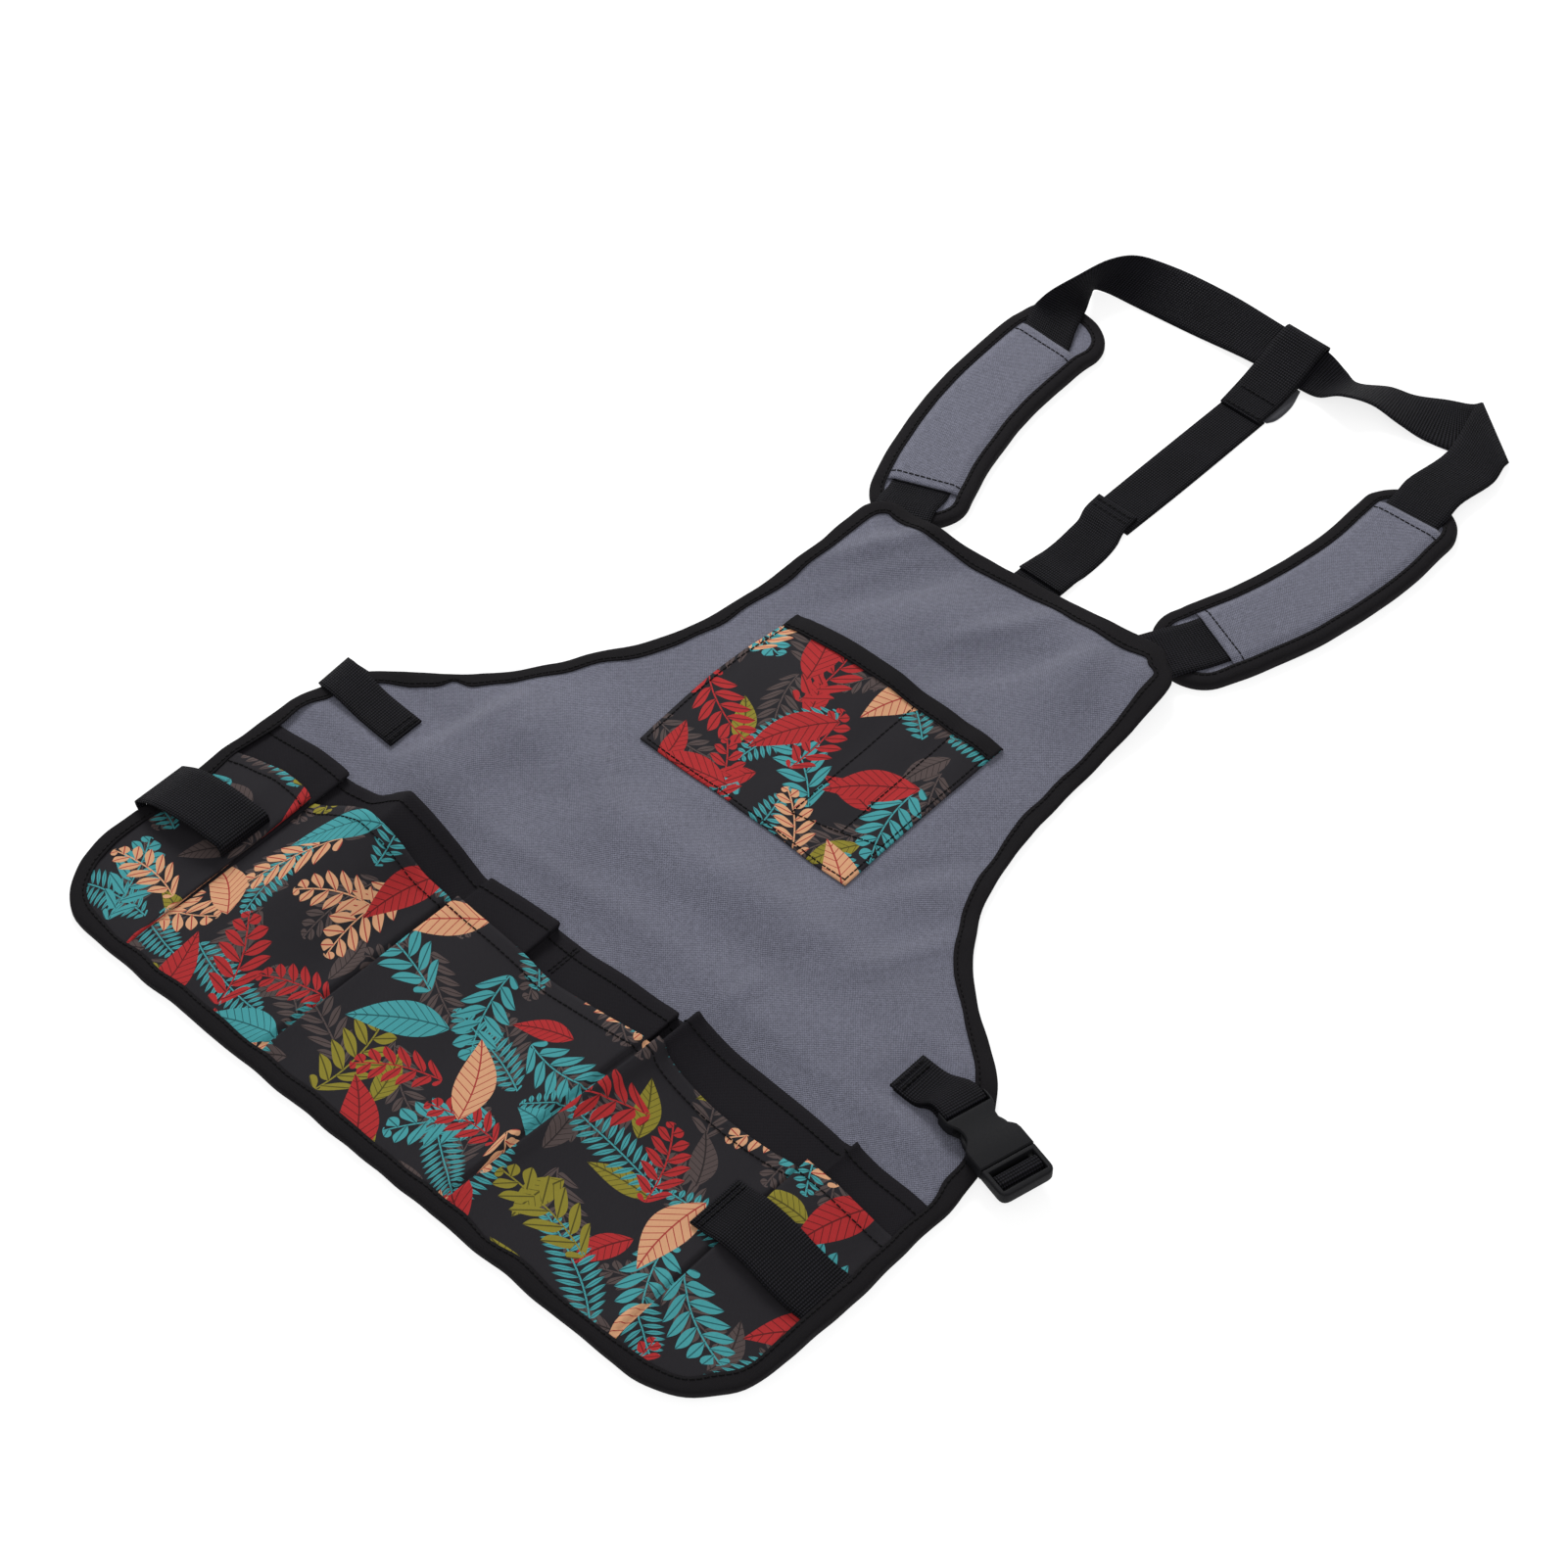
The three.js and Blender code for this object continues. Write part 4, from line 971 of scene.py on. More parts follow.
def ribbon_piece(name, rows, steps_per_row, finish, node):
    """Webbing through rows of its left and right edges, each a point in millimetres."""
    left = [Vector(row[0]) for row in rows]
    right = [Vector(row[1]) for row in rows]
    steps = (len(rows) - 1) * steps_per_row
    stations = [(curve_point(left, i / steps), curve_point(right, i / steps)) for i in range(steps + 1)]
    lengths = [0.0]
    for (left_a, right_a), (left_b, right_b) in zip(stations, stations[1:]):
        lengths.append(lengths[-1] + ((left_b + right_b) - (left_a + right_a)).length / 2)
    width = (stations[0][1] - stations[0][0]).length

    def place(u, v):
        a, b = stations[round(v * steps)]
        return a.lerp(b, u)

    def flat(u, v):
        return u * width, lengths[round(v * steps)]

    piece = place_piece(name, grid_shape(RIBBON_COLUMNS, steps, place, flat), finish, node)
    return thicken(piece, WEB_THICK, 0)


# Panel and its tape.


def panel_place(u, v):
    row = round(v * (len(SIDE) - 1))
    sides = (LAID_EDGE[OPPOSITE - row], LAID_EDGE[row])
    left, right = (point - out * PANEL_INSET for point, out in sides)
    spot = left.lerp(right, u)
    y = tilted(spot.x, spot.y - drawn_in(spot.x, spot.y))
    return spot.x, y, panel_top(spot.x, y)


def panel_flat(u, v):
    station = SIDE[round(v * (len(SIDE) - 1))]
    return station.x * (2 * u - 1), station.y


panel = sheet_piece("panel", PANEL_COLUMNS, len(SIDE) - 1, panel_place, panel_flat, PANEL_THICK,
                    grey_cloth, "body_panel")

# Tape section: distance in from the edge, which lip it is on, and height off that lip.
EDGE_SECTION = (
    (TAPE_WIDTH, "high", 0.0),
    (TAPE_WIDTH, "high", 0.75),
    (TAPE_WIDTH - 0.6, "high", 1.0),
    (7.0, "high", 1.05),
    (3.6, "high", 1.0),
    (1.6, "high", 0.75),
    (0.5, "high", 0.2),
    (0.0, "high", -0.7),
    (0.0, "low", -0.5),
    (0.5, "low", 0.3),
    (1.6, "low", 0.8),
    (3.6, "low", 1.0),
    (TAPE_WIDTH, "low", 1.0),
    (TAPE_WIDTH, "low", 0.0),
    (TAPE_THICK + 0.2, "low", 0.0),
    (TAPE_THICK + 0.2, "high", 0.0),
)
LOOP_SEAT = (84.0, 140.0)


def edge_point(station, inward, lip, off):
    point, out = station
    wider = TAPE_UNEVEN * uneven(point.x, point.y, TAPE_UNEVEN_SIZE, 2.4)
    inward *= 1 + wider + spots_at(TAPE_SPOTS, point.x, point.y)
    x = point.x - out.x * inward
    y = tilted(x, point.y - out.y * inward)
    over_loop = 0.0
    if point.x > 0 and out.x > 0.9:
        over_loop = WEB_STEP * plateau(point.y, LOOP_SEAT[0], LOOP_SEAT[1], LIFT_RAMP)
    if lip == "high":
        pucker = PUCKER * uneven(x, y, PUCKER_SIZE, 1.7)
        return x, y, lay(x, y) + crumple(x, y) + stack(y) + GAP + over_loop + off * TAPE_THICK + pucker
    return x, y, lay(x, y) + TAPE_FOLLOW * crumple(x, y) - GAP - off * TAPE_THICK


def edge_place(u, v):
    return edge_point(around(EDGE, u), *around(EDGE_SECTION, v))


ring_piece("edge_tape", len(EDGE), len(EDGE_SECTION), edge_place, plain_flat(*TAPE_FLAT), black_tape,
           "edge_binding")


# Skirt pockets.

ROW_HALF = SKIRT_HALF - 1 - LAYER_INSET
COLUMN_STEP = 3.0
BACK_LAYERS = PANEL_THICK + GAP + CLOTH_THICK
FRONT_LAYERS = BACK_LAYERS + LAYER_GAP + CLOTH_THICK


def row_columns(curves):
    """Places across a row's cloth: those of its table, and more between them."""
    places = [point[0] for point in curves[0]]
    columns = []
    for a, b in zip(places, places[1:]):
        count = math.ceil((b - a) / COLUMN_STEP)
        columns += [a + (b - a) * i / count for i in range(count)]
    return columns + places[-1:]


def row_x(wide, y):
    """A place across a pocket row, drawn in where the hem's corners are round."""
    rise = min(y, HEM_RADIUS) - HEM_RADIUS
    half = SKIRT_HALF - HEM_RADIUS + math.sqrt((HEM_RADIUS - LAYER_INSET) ** 2 - rise**2)
    corner = SKIRT_HALF - HEM_RADIUS - 10
    beyond = max(abs(wide) - corner, 0)
    room = min(half, ROW_HALF) - corner
    return math.copysign(min(abs(wide), corner) + beyond * room / (ROW_HALF - corner), wide)


def row_spot(curves, layers, across, share):
    """A point on a pocket row's face: a place across its cloth, and a share of the way up to its mouth."""
    hem_x, mouth_x, mouth_y, rise, step = (value_at(curve, across) for curve in curves[:5])
    y = LAYER_INSET + share * (mouth_y - LAYER_INSET)
    grown = max((y - TAPE_WIDTH) / (mouth_y - TAPE_WIDTH), 0) ** POCKET_FULLNESS
    x = row_x(hem_x + (mouth_x - hem_x) * grown, y)
    off = rise * grown + step * smooth((y - TAPE_WIDTH) / 8)
    hem = HEM_THICK * smooth((y - mouth_y + HEM_DROP + 1) / 1.5)
    soft = POCKET_WAVE * uneven(x, y, POCKET_WAVE_SIZE, 9.3) * between(y, POCKET_WAVE_Y)
    return x, y, lay(x, y) + layers + off + hem + max(soft, -0.2)


def pocket_row(name, curves, layers, top, finish, node):
    """A pocket row sewn along the hem and standing open along its mouth."""
    columns = row_columns(curves)
    last = len(columns) - 1

    def place(u, v):
        return row_spot(curves, layers, columns[round(u * last)], v)

    def flat(u, v):
        across = columns[round(u * last)]
        return across + value_at(curves[5], across), v * top

    return sheet_piece(name, last, POCKET_ROWS, place, flat, CLOTH_THICK, finish, node)


back_row = pocket_row("back_pockets", BACK_CURVES, BACK_LAYERS, BACK_TOP, black_cloth,
                      "back_pocket_row")
front_row = pocket_row("front_pockets", FRONT_CURVES, FRONT_LAYERS, FRONT_TOP, leaf_print,
                       "front_pocket_row")


# Chest pocket.


def chest_face(x, y):
    return chest_top(x, y) + max(crumple(x, y), 0)


def chest_side(y):
    """The chest pocket's left side, bowed out by the open pocket."""
    return CHEST_LEFT - CHEST_BOW * math.sin(math.pi * (y - CHEST_LOW) / CHEST_HEIGHT)


def chest_place(u, v):
    y = CHEST_LOW + v * CHEST_HEIGHT
    left = chest_side(y)
    x = left + u * (CHEST_RIGHT - left)
    return x, y, chest_face(x, y)


def chest_flat(u, v):
    return CHEST_LEFT + u * CHEST_WIDTH + CHEST_PRINT_SHIFT, CHEST_LOW + v * CHEST_HEIGHT


chest = sheet_piece("chest_pocket_cloth", CHEST_COLUMNS, POCKET_ROWS, chest_place, chest_flat, CLOTH_THICK,
                    leaf_print, "chest_pocket")

# Section of the tape over the mouth: distance past the mouth, and height over the pocket's underside.
MOUTH_SECTION = (
    (-CHEST_TAPE, 1.9),
    (-CHEST_TAPE + 0.8, 2.2),
    (-6.0, 2.3),
    (-0.6, 2.2),
    (1.1, 1.7),
    (1.4, 0.8),
    (1.4, 0.0),
)
MOUTH_STEPS = len(MOUTH_SECTION) - 1
MOUTH_TAPE_THICK = 0.8 * TAPE_THICK
MOUTH_TAPE_FLAT = (181, 16)


def mouth_tape_place(u, v):
    x = CHEST_LEFT - 0.5 + u * (CHEST_WIDTH + 1)
    across, up = MOUTH_SECTION[round(v * MOUTH_STEPS)]
    y = CHEST_TOP + across
    return x, y, chest_under(x, min(y, CHEST_TOP)) + up + max(crumple(x, y), 0) + 0.2


sheet_piece("chest_mouth_tape", CHEST_COLUMNS, MOUTH_STEPS, mouth_tape_place, plain_flat(*MOUTH_TAPE_FLAT),
            MOUTH_TAPE_THICK, black_tape, "chest_pocket_tape")


# Webbing.


def along_x(rows):
    """Rows of x, low y, high y and z, for webbing that runs along X."""
    return [((x, high, z), (x, low, z)) for x, low, high, z in rows]


def up_y(rows):
    """Rows of y, left x, right x and z, for webbing that runs along Y."""
    return [((left, y, z), (right, y, z)) for y, left, right, z in rows]


def round_bar(rows):
    """Rows of distance along the buckle and height over its base."""
    half = BUCKLE_WEB / 2
    return [(on_buckle(along, half, up), on_buckle(along, -half, up)) for along, up in rows]


def pad_rows(pad, rows):
    """Rows of distance along a pad, height and a shift aside."""
    half = STRAP_WIDTH / 2
    return [(on_pad(pad, s, aside - half, z), on_pad(pad, s, aside + half, z)) for s, z, aside in rows]


LEFT_LOOP = (
    (-212.6, 93, 133, 10.8),
    (-212.8, 93, 133, 12.6),
    (-213.6, 93, 133, 16.4),
    (-217, 93, 133, 18.4),
    (-226, 92, 132, 19.8),
    (-242, 91, 131, 21.2),
    (-270, 89, 129, 17.6),
    (-282, 88, 127, 13.0),
    (-287.2, 87, 126, 9.8),
    (-286.8, 87, 126, 6.2),
    (-285.4, 87, 126, 3.8),
)
RIGHT_LOOP = (
    (188, 95, 136, 8.6),
    (197, 95, 136, 9.4),
    (202, 94.5, 135.5, 11.0),
    (206, 94, 135, 13.2),
    (212, 93.5, 134.5, 15.4),
    (222, 93, 134, 16.0),
    (236, 92, 133, 15.4),
    (254, 90, 131, 12.8),
    (270, 90, 131, 8.8),
    (278, 91, 132, 6.8),
    (286, 91, 132, 6.7),
)
ON_PANEL = REST + WEB_STEP + PANEL_THICK + GAP + WEB_THICK / 2
ON_EDGE = ON_PANEL + TAPE_THICK + GAP
# The belt's fold slants: x of its high and low edge, low y, high y and z.
BELT = (
    (-206.5, -206, 230.5, 258.5, ON_PANEL + 0.4),
    (-240, -239, 232.5, 260, ON_PANEL + 0.4),
    (-259, -257, 234, 262, ON_EDGE + 0.5),
    (-274, -271, 235, 263.5, ON_EDGE + 0.4),
    (-280.5, -278, 236, 264.5, ON_EDGE - 1.4),
    (-282.5, -280.2, 237, 265.5, 3.9),
    (-280, -277.8, 237.5, 266, 1.9),
    (-274, -272, 238.5, 267, LOW + 0.2),
    (-262, -260, 239.5, 268, LOW),
    (-240, -240, 242, 271, LOW),
    (-120, -120, 244, 274, LOW),
    (0, 0, 246, 276, LOW),
    (120, 120, 248, 278, LOW),
    (220, 220, 250, 280, LOW),
)
LADDER = (
    (24, LOW - BUCKLE_BASE),
    (38, LOW - BUCKLE_BASE),
    (46, 1.6 - BUCKLE_BASE),
    (52, -2.6),
    (54.0, 1.6),
    (54.3, 5.4),
    (56.2, 7.9),
    (59.2, 8.2),
    (62.2, 7.9),
    (64.1, 5.4),
    (64.4, 1.6),
    (63.8, -2.4),
    (60.5, -4.2),
)
TAB_FROM, TAB_LOW, TAB_HIGH = 207.0, 247.0, 277.0
BAR_MIDDLE = 5.0
BAR_WRAP = 2.5 + GAP + WEB_THICK / 2
TAB_UNDER = (
    (TAB_FROM + 3, TAB_LOW, TAB_HIGH, ON_PANEL + 0.3),
    (TAB_FROM + 20, TAB_LOW, TAB_HIGH, ON_PANEL + 0.3),
)
TAB_ROUND = (
    (-9, BAR_MIDDLE - BAR_WRAP - 0.4),
    (3.0, BAR_MIDDLE - BAR_WRAP - 0.2),
    (5.6, BAR_MIDDLE - BAR_WRAP + 0.4),
    (6.4, BAR_MIDDLE),
    (5.6, BAR_MIDDLE + BAR_WRAP - 0.4),
    (3.0, BAR_MIDDLE + BAR_WRAP + 0.2),
    (-9, BAR_MIDDLE + BAR_WRAP - 2.4),
)
TAB_OVER = (
    (TAB_FROM + 20, TAB_LOW, TAB_HIGH, ON_PANEL + WEB_STEP + 0.3),
    (TAB_FROM, TAB_LOW, TAB_HIGH, ON_PANEL + WEB_STEP + 0.3),
)
LEFT_PAD_WAY = (
    (-21, IN_SLEEVE, -6),
    (0, ON_TAPE, -6),
    (15, ON_TAPE, -4.4),
    (27, IN_SLEEVE, -1.4),
    (44, IN_SLEEVE, 0),
    (95, IN_SLEEVE, 0),
    (150, IN_SLEEVE, 0),
    (190, IN_SLEEVE, -1),
    (207, IN_SLEEVE + 0.1, -3),
)
# The free stretch between the pads, as pairs of its outer and inner edge.
CROSS_WAY = (
    ((-168, 818, 12), (-132, 822, 8.6)),
    ((-163, 827, 22), (-140, 842, 8.6)),
    ((-155, 848, 28), (-151, 861, 3.6)),
    ((-148, 877, 29), (-155, 870, 1.4)),
    ((-138, 895, 27), (-148, 873, 1.0)),
    ((-115, 907, 23), (-122, 876, 0.9)),
    ((-67, 915, 20), (-76, 881, 0.9)),
    ((-22, 917, 17), (-24, 884.5, 4.4)),
    ((16, 918, 16), (16, 885.5, 4.4)),
    ((31, 920, 6), (31, 887, 5.5)),
    ((40, 920, 1.4), (50, 887, 19)),
    ((61, 933, 1.2), (68, 899, 14)),
    ((78, 938, 1), (90, 902, 8)),
    ((97, 949.5, 1.0), (112, 906, 2.6)),
    ((113, 958.5, 0.9), (161, 922.5, 0.9)),
    ((117, 962.8, 2.4), (165, 927, 2.4)),
    ((117, 955, 4.2), (166, 921, 4.2)),
    ((130, 904, 6.0), (170.5, 902, 6.0)),
)
RIGHT_PAD_WAY = (
    (250, ON_TAPE, 1),
    (233, ON_TAPE + 0.1, 1),
    (221, IN_SLEEVE + 0.1, 0),
    (204, IN_SLEEVE, 0),
    (150, IN_SLEEVE, 0),
    (95, IN_SLEEVE, 0),
    (44, IN_SLEEVE, 0),
    (27, IN_SLEEVE, 0),
    (15, ON_TAPE, 0),
    (0, ON_TAPE, 0),
    (-21, IN_SLEEVE, 0),
)
UPPER_STRAP = ((699, -17, 17, LOW), (760, -17, 18, LOW), (846, -16.5, 18, LOW))
INSERT = (
    (626, -16, 21, SECOND),
    (641, -14, 21, SECOND),
    (650, -14, 21, LOW + 0.2),
    (662, -14, 21, LOW),
    (676, -15, 20, LOW),
    (687, -16, 18, LOW + 0.2),
    (697, -19, 15, SECOND),
    (714, -20.5, 13, SECOND),
)
LOWER_STRAP = (
    (240, -18, 18, SECOND),
    (280, -18, 18, SECOND),
    (291, -18, 18, LOW + 0.2),
    (306, -18, 18, LOW),
    (340, -18, 18, LOW),
    (450, -18, 18, LOW),
    (600, -16, 20, LOW),
    (639, -15, 20, LOW),
)
JUNCTION = (
    (841, -17, 17, SECOND),
    (866, -20, 16.5, SECOND + 0.2),
    (880, -21, 16, 5.2),
    (900, -21, 15.5, 12.6),
    (916, -20.5, 15, 19.2),
    (920.4, -20.5, 15, 17.4),
    (918, -20.5, 15, 14.2),
    (890, -20, 15, 3.4),
    (880, -20, 15, 2.6),
)
PATCH = ((847, -17, 19, LOW), (853, -18, 22, LOW), (870, -18, 22, LOW), (887, -17, 17, LOW))

belt_rows = [((high_x, high, z), (low_x, low, z)) for high_x, low_x, low, high, z in BELT]
shoulder_rows = pad_rows(LEFT_PAD, LEFT_PAD_WAY) + list(CROSS_WAY) + pad_rows(RIGHT_PAD, RIGHT_PAD_WAY)
tab_rows = along_x(TAB_UNDER) + round_bar(TAB_ROUND) + along_x(TAB_OVER)
# Name, rows, steps between rows, and the node that it stands for.
WEBBING_PIECES = (
    ("left_loop_webbing", along_x(LEFT_LOOP), 6, "left_tool_loop"),
    ("right_loop_webbing", along_x(RIGHT_LOOP), 6, "right_tool_loop"),
    ("belt_webbing", belt_rows + round_bar(LADDER), 6, "waist_belt"),
    ("tab_webbing", tab_rows, 6, "buckle_tab"),
    ("shoulder_webbing", shoulder_rows, 6, "shoulder_strap"),
    ("upper_strap_webbing", up_y(UPPER_STRAP), 12, "centre_strap_upper"),
    ("insert_webbing", up_y(INSERT), 6, "strap_insert"),
    ("lower_strap_webbing", up_y(LOWER_STRAP), 8, "centre_strap_lower"),
    ("junction_webbing", up_y(JUNCTION), 6, "junction_loop"),
)
for name, rows, steps, node in WEBBING_PIECES:
    ribbon_piece(name, rows, steps, webbing, node)
junction_felt = ribbon_piece("junction_felt", up_y(PATCH), 6, felt, "junction_patch")


# Pads.


def pad_half(s, inset):
    """Half of a pad's width at a distance along it, less an inset."""
    rise = max(PAD_CORNER - min(s, PAD_LENGTH - s), 0)
    return PAD_WIDTH / 2 - PAD_CORNER + math.sqrt(max((PAD_CORNER - inset) ** 2 - rise**2, 0))


def pad_outline():
    """Stations round a pad with the direction that points out of it."""
    half = PAD_WIDTH / 2
    c = PAD_CORNER
    points = [Vector((half, c))]
    points += line_points((half, c), (half, PAD_LENGTH - c), 40)
    points += arc_points(half - c, PAD_LENGTH - c, c, 0, math.pi / 2, 14)
    points += line_points((half - c, PAD_LENGTH), (c - half, PAD_LENGTH), 4)
    points += arc_points(c - half, PAD_LENGTH - c, c, math.pi / 2, math.pi, 14)
    points += line_points((-half, PAD_LENGTH - c), (-half, c), 40)
    points += arc_points(c - half, c, c, math.pi, 1.5 * math.pi, 14)
    points += line_points((c - half, 0), (half - c, 0), 4)
    points += arc_points(half - c, c, c, 1.5 * math.pi, 2 * math.pi, 14)[:-1]
    stations = []
    for point, out in outward(points):
        wave = PAD_WAVE * uneven(point.x, point.y, PAD_WAVE_SIZE, 6.4)
        stations.append((point + out * wave, out))
    return stations


PAD_EDGE = pad_outline()
PAD_LIP = PAD_TOP + GAP
# Tape section round a pad: distance in from the edge, and height.
PAD_SECTION = (
    (PAD_TAPE, PAD_LIP),
    (PAD_TAPE, PAD_LIP + 0.8),
    (PAD_TAPE - 0.6, PAD_LIP + 1.0),
    (4.5, PAD_LIP + 1.0),
    (2.0, PAD_LIP + 0.7),
    (0.6, PAD_LIP - 0.3),
    (0.0, PAD_LIP - 1.8),
    (0.0, 1.8),
    (0.6, 0.5),
    (2.0, 0.0),
    (PAD_TAPE, 0.0),
    (PAD_TAPE, 1.0),
    (1.2, 1.0),
    (1.2, PAD_LIP),
)


def sleeve_point(pad, s, t):
    """A point on a sleeve's face: flat along its sides and arched over the webbing."""
    arch = smooth((SLEEVE_ARCH - abs(t)) / 6)
    soft = SLEEVE_WAVE * noise.noise(Vector((s / 26, t / 18, 4.0 + pad.side))) * arch
    return on_pad(pad, s, t, PAD_TOP + GAP + WEB_STEP * arch + CLOTH_THICK + max(soft, 0))


def over_sleeve(pad, s):
    """How much the tape is raised where it covers the sleeve's sides."""
    return (CLOTH_THICK + 0.2) * plateau(s, pad.sleeve_start, pad.sleeve_end, 10)


def dress_pad(side, pad):
    """One shoulder pad: its filled base, its tape and the sleeve that the webbing runs through."""

    def base_place(u, v):
        s = LAYER_INSET + v * (PAD_LENGTH - 2 * LAYER_INSET)
        t = pad_half(s, LAYER_INSET) * (2 * u - 1)
        crown = PAD_CROWN * (1 - (2 * u - 1) ** 2)
        return on_pad(pad, s, t, PAD_TOP + crown)

    filled = grid_shape(PAD_COLUMNS, PAD_ROWS, base_place, plain_flat(PAD_WIDTH, PAD_LENGTH))
    base = place_piece(f"{side}_pad_cushion", filled, grey_cloth, f"{side}_pad_base")
    thicken(base, PAD_TOP - TAPE_THICK - GAP, -1)

    def tape_place(u, v):
        point, out = around(PAD_EDGE, u)
        inward, z = around(PAD_SECTION, v)
        s = point.y - out.y * inward
        lift = over_sleeve(pad, s) * smooth((z - 2) / 3)
        return on_pad(pad, s, point.x - out.x * inward, z + lift)

    ring_piece(f"{side}_pad_tape", len(PAD_EDGE), len(PAD_SECTION), tape_place, plain_flat(*PAD_TAPE_FLAT),
               black_tape, f"{side}_pad_binding")
    sleeve_length = pad.sleeve_end - pad.sleeve_start

    def sleeve_place(u, v):
        return sleeve_point(pad, pad.sleeve_start + v * sleeve_length, SLEEVE_WIDTH * (u - 0.5))

    sleeve_flat = plain_flat(SLEEVE_WIDTH, sleeve_length)
    return sheet_piece(f"{side}_sleeve_cloth", SLEEVE_COLUMNS, SLEEVE_ROWS, sleeve_place, sleeve_flat,
                       CLOTH_THICK, grey_cloth, f"{side}_pad_sleeve")


left_sleeve = dress_pad("left", LEFT_PAD)
right_sleeve = dress_pad("right", RIGHT_PAD)


# Stitching: one joined mesh of short stitches along paths on the faces.

STITCH_PITCH = 4.2
STITCH_LENGTH = 3.2
STITCH_THICK = 0.75
STITCH_LIFT = 0.1
# How far seams lie in from the edge of a pocket, a tape, a pad's tape and a sleeve's end.
POCKET_SEAM = 3
TAPE_SEAM = 2.2
PAD_SEAM = 2.0
SLEEVE_SEAM = 7
DOUBLE_SEAM_X = (-5, -2)
DOUBLE_SEAM = [0.86 + 0.01 * i for i in range(14)]


def sew(shape, path):
    """Adds stitches along a path of points in millimetres."""
    size = Matrix.Diagonal((STITCH_LENGTH, STITCH_THICK, STITCH_THICK, 1))
    walked = 0.0
    due = STITCH_PITCH / 2
    for a, b in zip(path, path[1:]):
        step = (b - a).length
        while step and due <= walked + step:
            along = (b - a).normalized()
            aside = Vector((0, 0, 1)).cross(along).normalized()
            up = along.cross(aside)
            turn = Matrix((along, aside, up)).transposed().to_4x4()
            place = Matrix.Translation(a.lerp(b, (due - walked) / step) + up * STITCH_LIFT)
            bmesh.ops.create_cube(shape, size=1.0, matrix=place @ turn @ size)
            due += STITCH_PITCH
        walked += step


def over(face, start, end, step=1.5):
    """A straight path between two points, laid on a face."""
    start = Vector(start)
    end = Vector(end)
    count = max(round((end - start).length / step), 1)
    points = [start.lerp(end, i / count) for i in range(count + 1)]
    return [Vector((p.x, p.y, face(p.x, p.y))) for p in points]


def chest_tape_face(x, y):
    return chest_under(x, y) + 2.5 + max(crumple(x, y), 0)


def sew_pockets(shape):
    """Hems and the double seam of the skirt pockets, and the chest pocket's seams."""
    for x in DOUBLE_SEAM_X:
        column = min(row_columns(BACK_CURVES), key=lambda across: abs(value_at(BACK_CURVES[1], across) - x))
        sew(shape, [Vector(row_spot(BACK_CURVES, BACK_LAYERS, column, share)) for share in DOUBLE_SEAM])
    rows = ((FRONT_CURVES, FRONT_LAYERS, FRONT_TOP), (BACK_CURVES, BACK_LAYERS, BACK_TOP))
    for curves, layers, top in rows:
        seam = 1 - HEM_DROP / (top - LAYER_INSET)
        sew(shape, [Vector(row_spot(curves, layers, across, seam)) for across in row_columns(curves)[3:-3]])
    low = CHEST_LOW + POCKET_SEAM
    right = CHEST_RIGHT - POCKET_SEAM
    high = CHEST_TOP - CHEST_TAPE
    side = [(chest_side(y) + POCKET_SEAM, y) for y in range(round(low), round(high), 2)]
    sew(shape, [Vector((x, y, chest_face(x, y))) for x, y in side])
    sew(shape, over(chest_face, (CHEST_LEFT + POCKET_SEAM, low), (right, low)))
    sew(shape, over(chest_face, (right, low), (right, high)))
    for x, foot in PEN_SEAMS:
        sew(shape, over(chest_face, (x, foot), (x, high)))
    sew(shape, over(chest_face, PEN_SEAMS[0], (right, PEN_FOOT)))
    sew(shape, over(chest_tape_face, (CHEST_LEFT, high + TAPE_SEAM), (CHEST_RIGHT, high + TAPE_SEAM)))


def sew_tape(shape):
    """The seam along the inner edge of the tape round the apron and round both pads."""
    seam = [Vector(edge_point(station, TAPE_WIDTH - TAPE_SEAM, "high", 1.03)) for station in EDGE]
    sew(shape, seam + seam[:1])
    for pad in (LEFT_PAD, RIGHT_PAD):
        ring = []
        for point, out in PAD_EDGE:
            inner = point - out * (PAD_TAPE - PAD_SEAM)
            ring.append(Vector(on_pad(pad, inner.y, inner.x, PAD_LIP + 1.0 + over_sleeve(pad, inner.y))))
        sew(shape, ring + ring[:1])


def sew_sleeves(shape):
    """Seams along both ends of the sleeves."""
    for pad in (LEFT_PAD, RIGHT_PAD):
        for s in (pad.sleeve_start + SLEEVE_SEAM, pad.sleeve_end - SLEEVE_SEAM):
            sew(shape, [Vector(sleeve_point(pad, s, t)) for t in range(-25, 26)])


def sew_webbing(shape):
    """Seams that hold the webbing's ends: lines with both ends and the height of the webbing's face."""
    top = WEB_THICK / 2
    lines = (
        ((-209, 232), (-209, 257), ON_PANEL + 0.4 + top),
        ((-214, 232), (-214, 257), ON_PANEL + 0.4 + top),
        ((210, 249), (210, 275), ON_PANEL + WEB_STEP + 0.3 + top),
        ((215, 249), (215, 275), ON_PANEL + WEB_STEP + 0.3 + top),
        ((191, 97), (191, 134), 8.9 + top),
        ((195, 97), (195, 134), 9.2 + top),
        ((-15, 844), (15, 844), SECOND + top),
        ((-16, 862), (15, 862), SECOND + 0.2 + top),
        ((-18, 704), (11, 704), SECOND + top),
        ((-19, 710), (11, 710), SECOND + top),
    )
    for start, end, z in lines:
        sew(shape, [Vector((*start, z)), Vector((*end, z))])


stitching = bmesh.new()
sew_pockets(stitching)
sew_tape(stitching)
sew_sleeves(stitching)
sew_webbing(stitching)
to_row = Matrix.Scale(0.001, 4) @ Matrix.Translation(SHIFT)
bmesh.ops.transform(stitching, matrix=to_row, verts=stitching.verts)
place_piece("stitching", stitching, thread)


# Buckle: the solids' own shape with rounded edges.


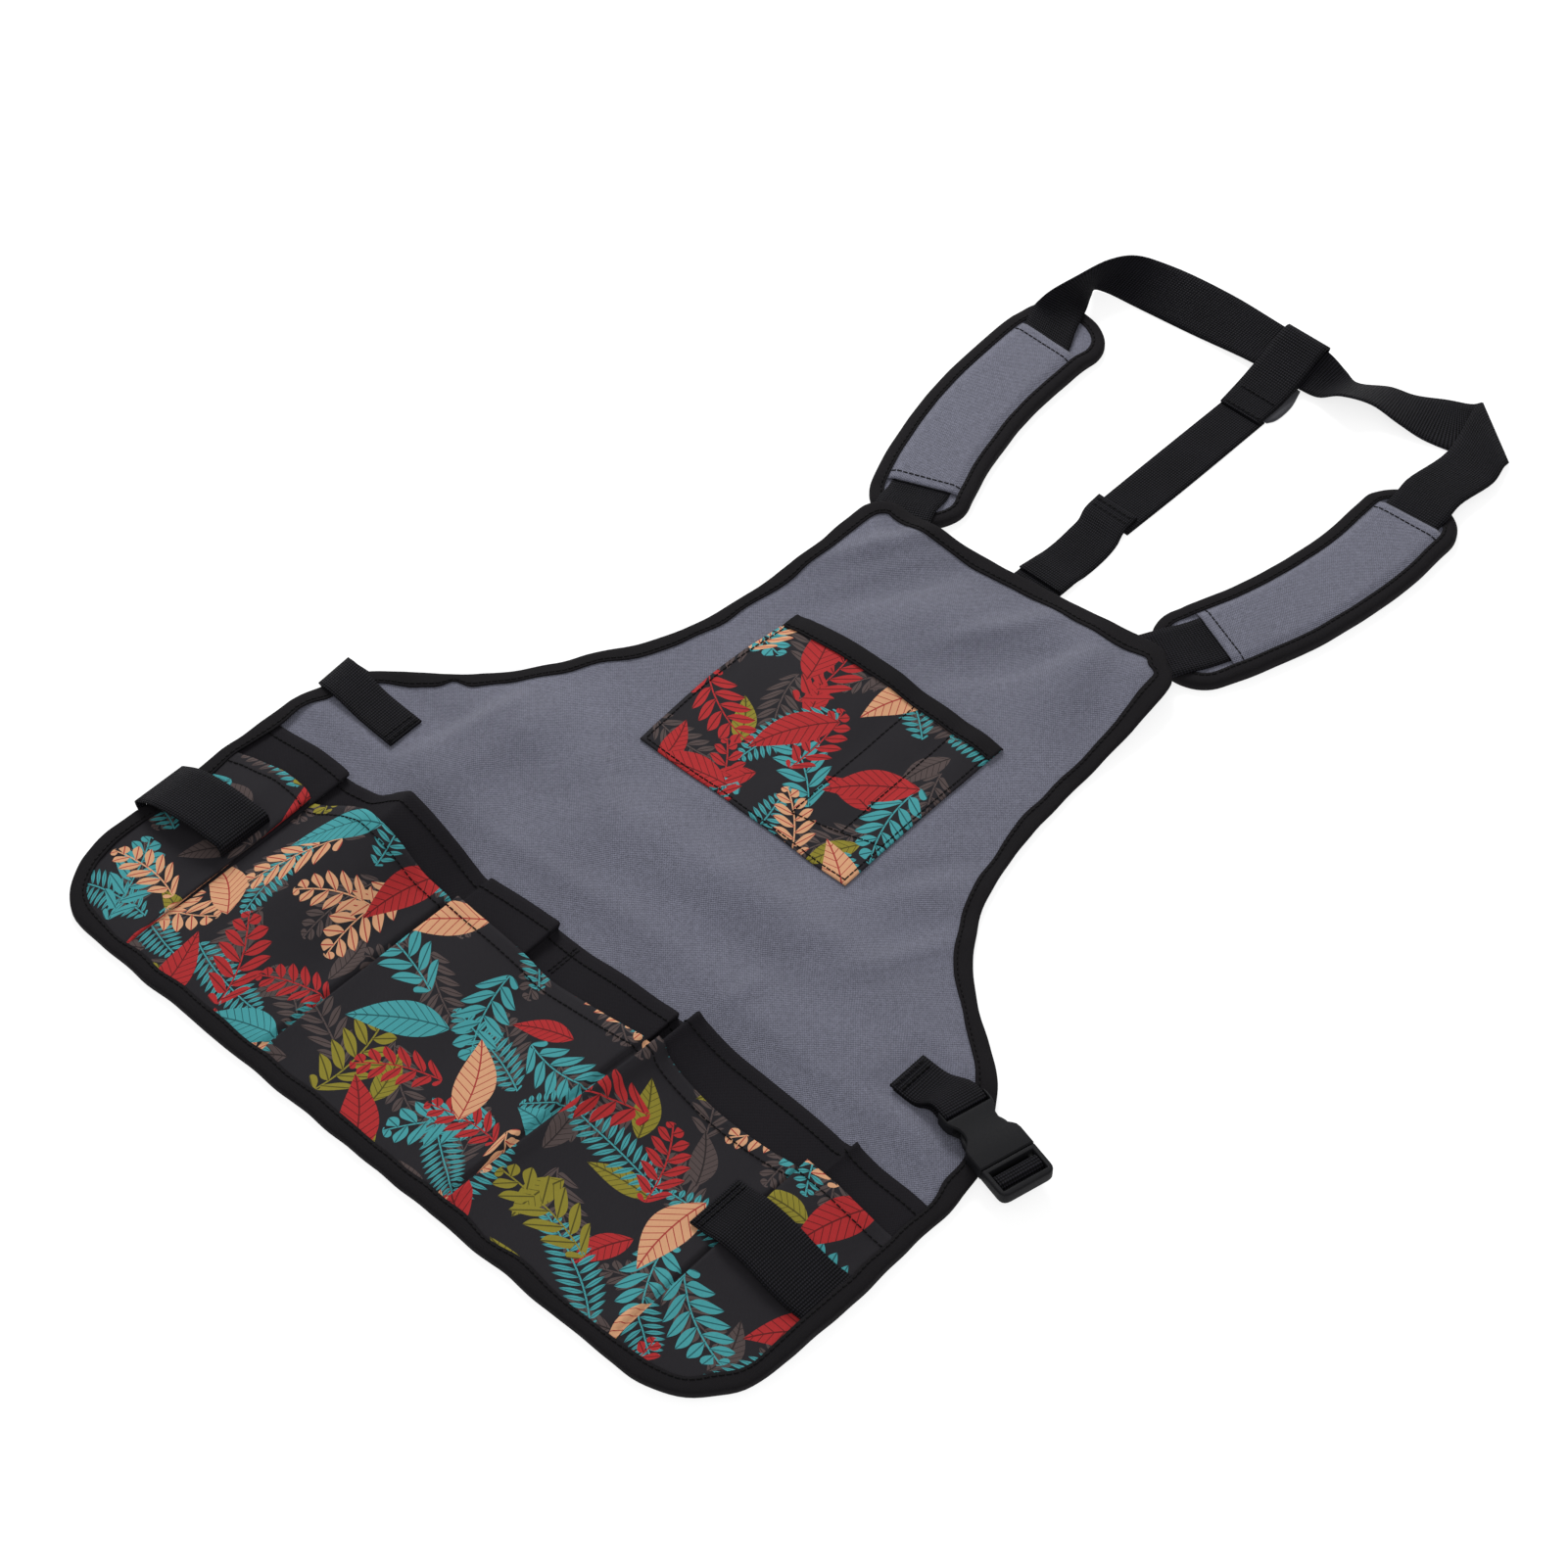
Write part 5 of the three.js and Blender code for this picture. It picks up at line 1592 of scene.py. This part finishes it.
def round_edges(name, node):
    """A copy of a moulded solid with its edges rounded off."""
    shape = bmesh.new()
    shape.from_mesh(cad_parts[node].data)
    bmesh.ops.remove_doubles(shape, verts=shape.verts, dist=1e-6)
    bmesh.ops.dissolve_limit(shape, angle_limit=math.radians(1), verts=shape.verts, edges=shape.edges)
    piece = place_piece(name, shape, plastic, node)
    edge = piece.modifiers.new("rounding", "BEVEL")
    edge.width = 0.0005
    edge.segments = 3
    edge.limit_method = "ANGLE"
    edge.angle_limit = math.radians(28)


round_edges("buckle_socket_shell", "buckle_socket")
round_edges("buckle_plug_frame", "buckle_plug")


# Camera, light and floor.

CAMERA_PLACE = (1094.4, -803.0, 1894.6)
CAMERA_FALL = math.radians(49.557)
CAMERA_AHEAD = Vector((-0.6797, 0.7335, 0.0))
SENSOR = 36.0
FOCAL_PIXELS = 4000
FRAME_PIXELS = 1601
CAMERA_REACH = 80.0
FLOOR_SIZE = 30.0
FLOOR_TONE = (0.32, 0.32, 0.32, 1.0)
FLOOR_GLOW = 0.78
SKY_GLOW = 0.55
WHITE = (1.0, 1.0, 1.0, 1.0)

camera_data = bpy.data.cameras.new("camera")
camera_data.sensor_width = SENSOR
camera_data.lens = SENSOR * FOCAL_PIXELS / FRAME_PIXELS
camera_data.clip_end = CAMERA_REACH
camera = new_object("camera", camera_data)
forward = CAMERA_AHEAD.normalized() * math.cos(CAMERA_FALL) - Vector((0, 0, math.sin(CAMERA_FALL)))
camera.location = row_point(*CAMERA_PLACE)
camera.rotation_euler = forward.to_track_quat("-Z", "Y").to_euler()
scene.camera = camera

floor_shape = bmesh.new()
bmesh.ops.create_grid(floor_shape, x_segments=1, y_segments=1, size=FLOOR_SIZE)
floor_mesh = bpy.data.meshes.new("floor")
floor_shape.to_mesh(floor_mesh)
floor_shape.free()
floor = new_object("floor", floor_mesh)
floor_finish, _, floor_shader = new_finish("pale_floor", 0.9)
feed(floor_shader.inputs["Base Color"], FLOOR_TONE)
feed(floor_shader.inputs["Emission Color"], WHITE)
feed(floor_shader.inputs["Emission Strength"], FLOOR_GLOW)
floor_mesh.materials.append(floor_finish)


def soft_light(name, place, size, power):
    """A round light that faces the row's origin."""
    data = bpy.data.lights.new(name, "AREA")
    data.shape = "DISK"
    data.size = size
    data.energy = power
    light = new_object(name, data)
    light.location = place
    light.rotation_euler = (-Vector(place)).to_track_quat("-Z", "Y").to_euler()


soft_light("key_light", (-2.0, 1.5, 1.9), 1.4, 84)
soft_light("fill_light", (1.6, -1.6, 2.6), 2.4, 28)
world = bpy.data.worlds.new("studio")
world.use_nodes = True
sky = world.node_tree.nodes["Background"]
feed(sky.inputs["Color"], WHITE)
feed(sky.inputs["Strength"], SKY_GLOW)
scene.world = world
scene.view_settings.view_transform = "Standard"
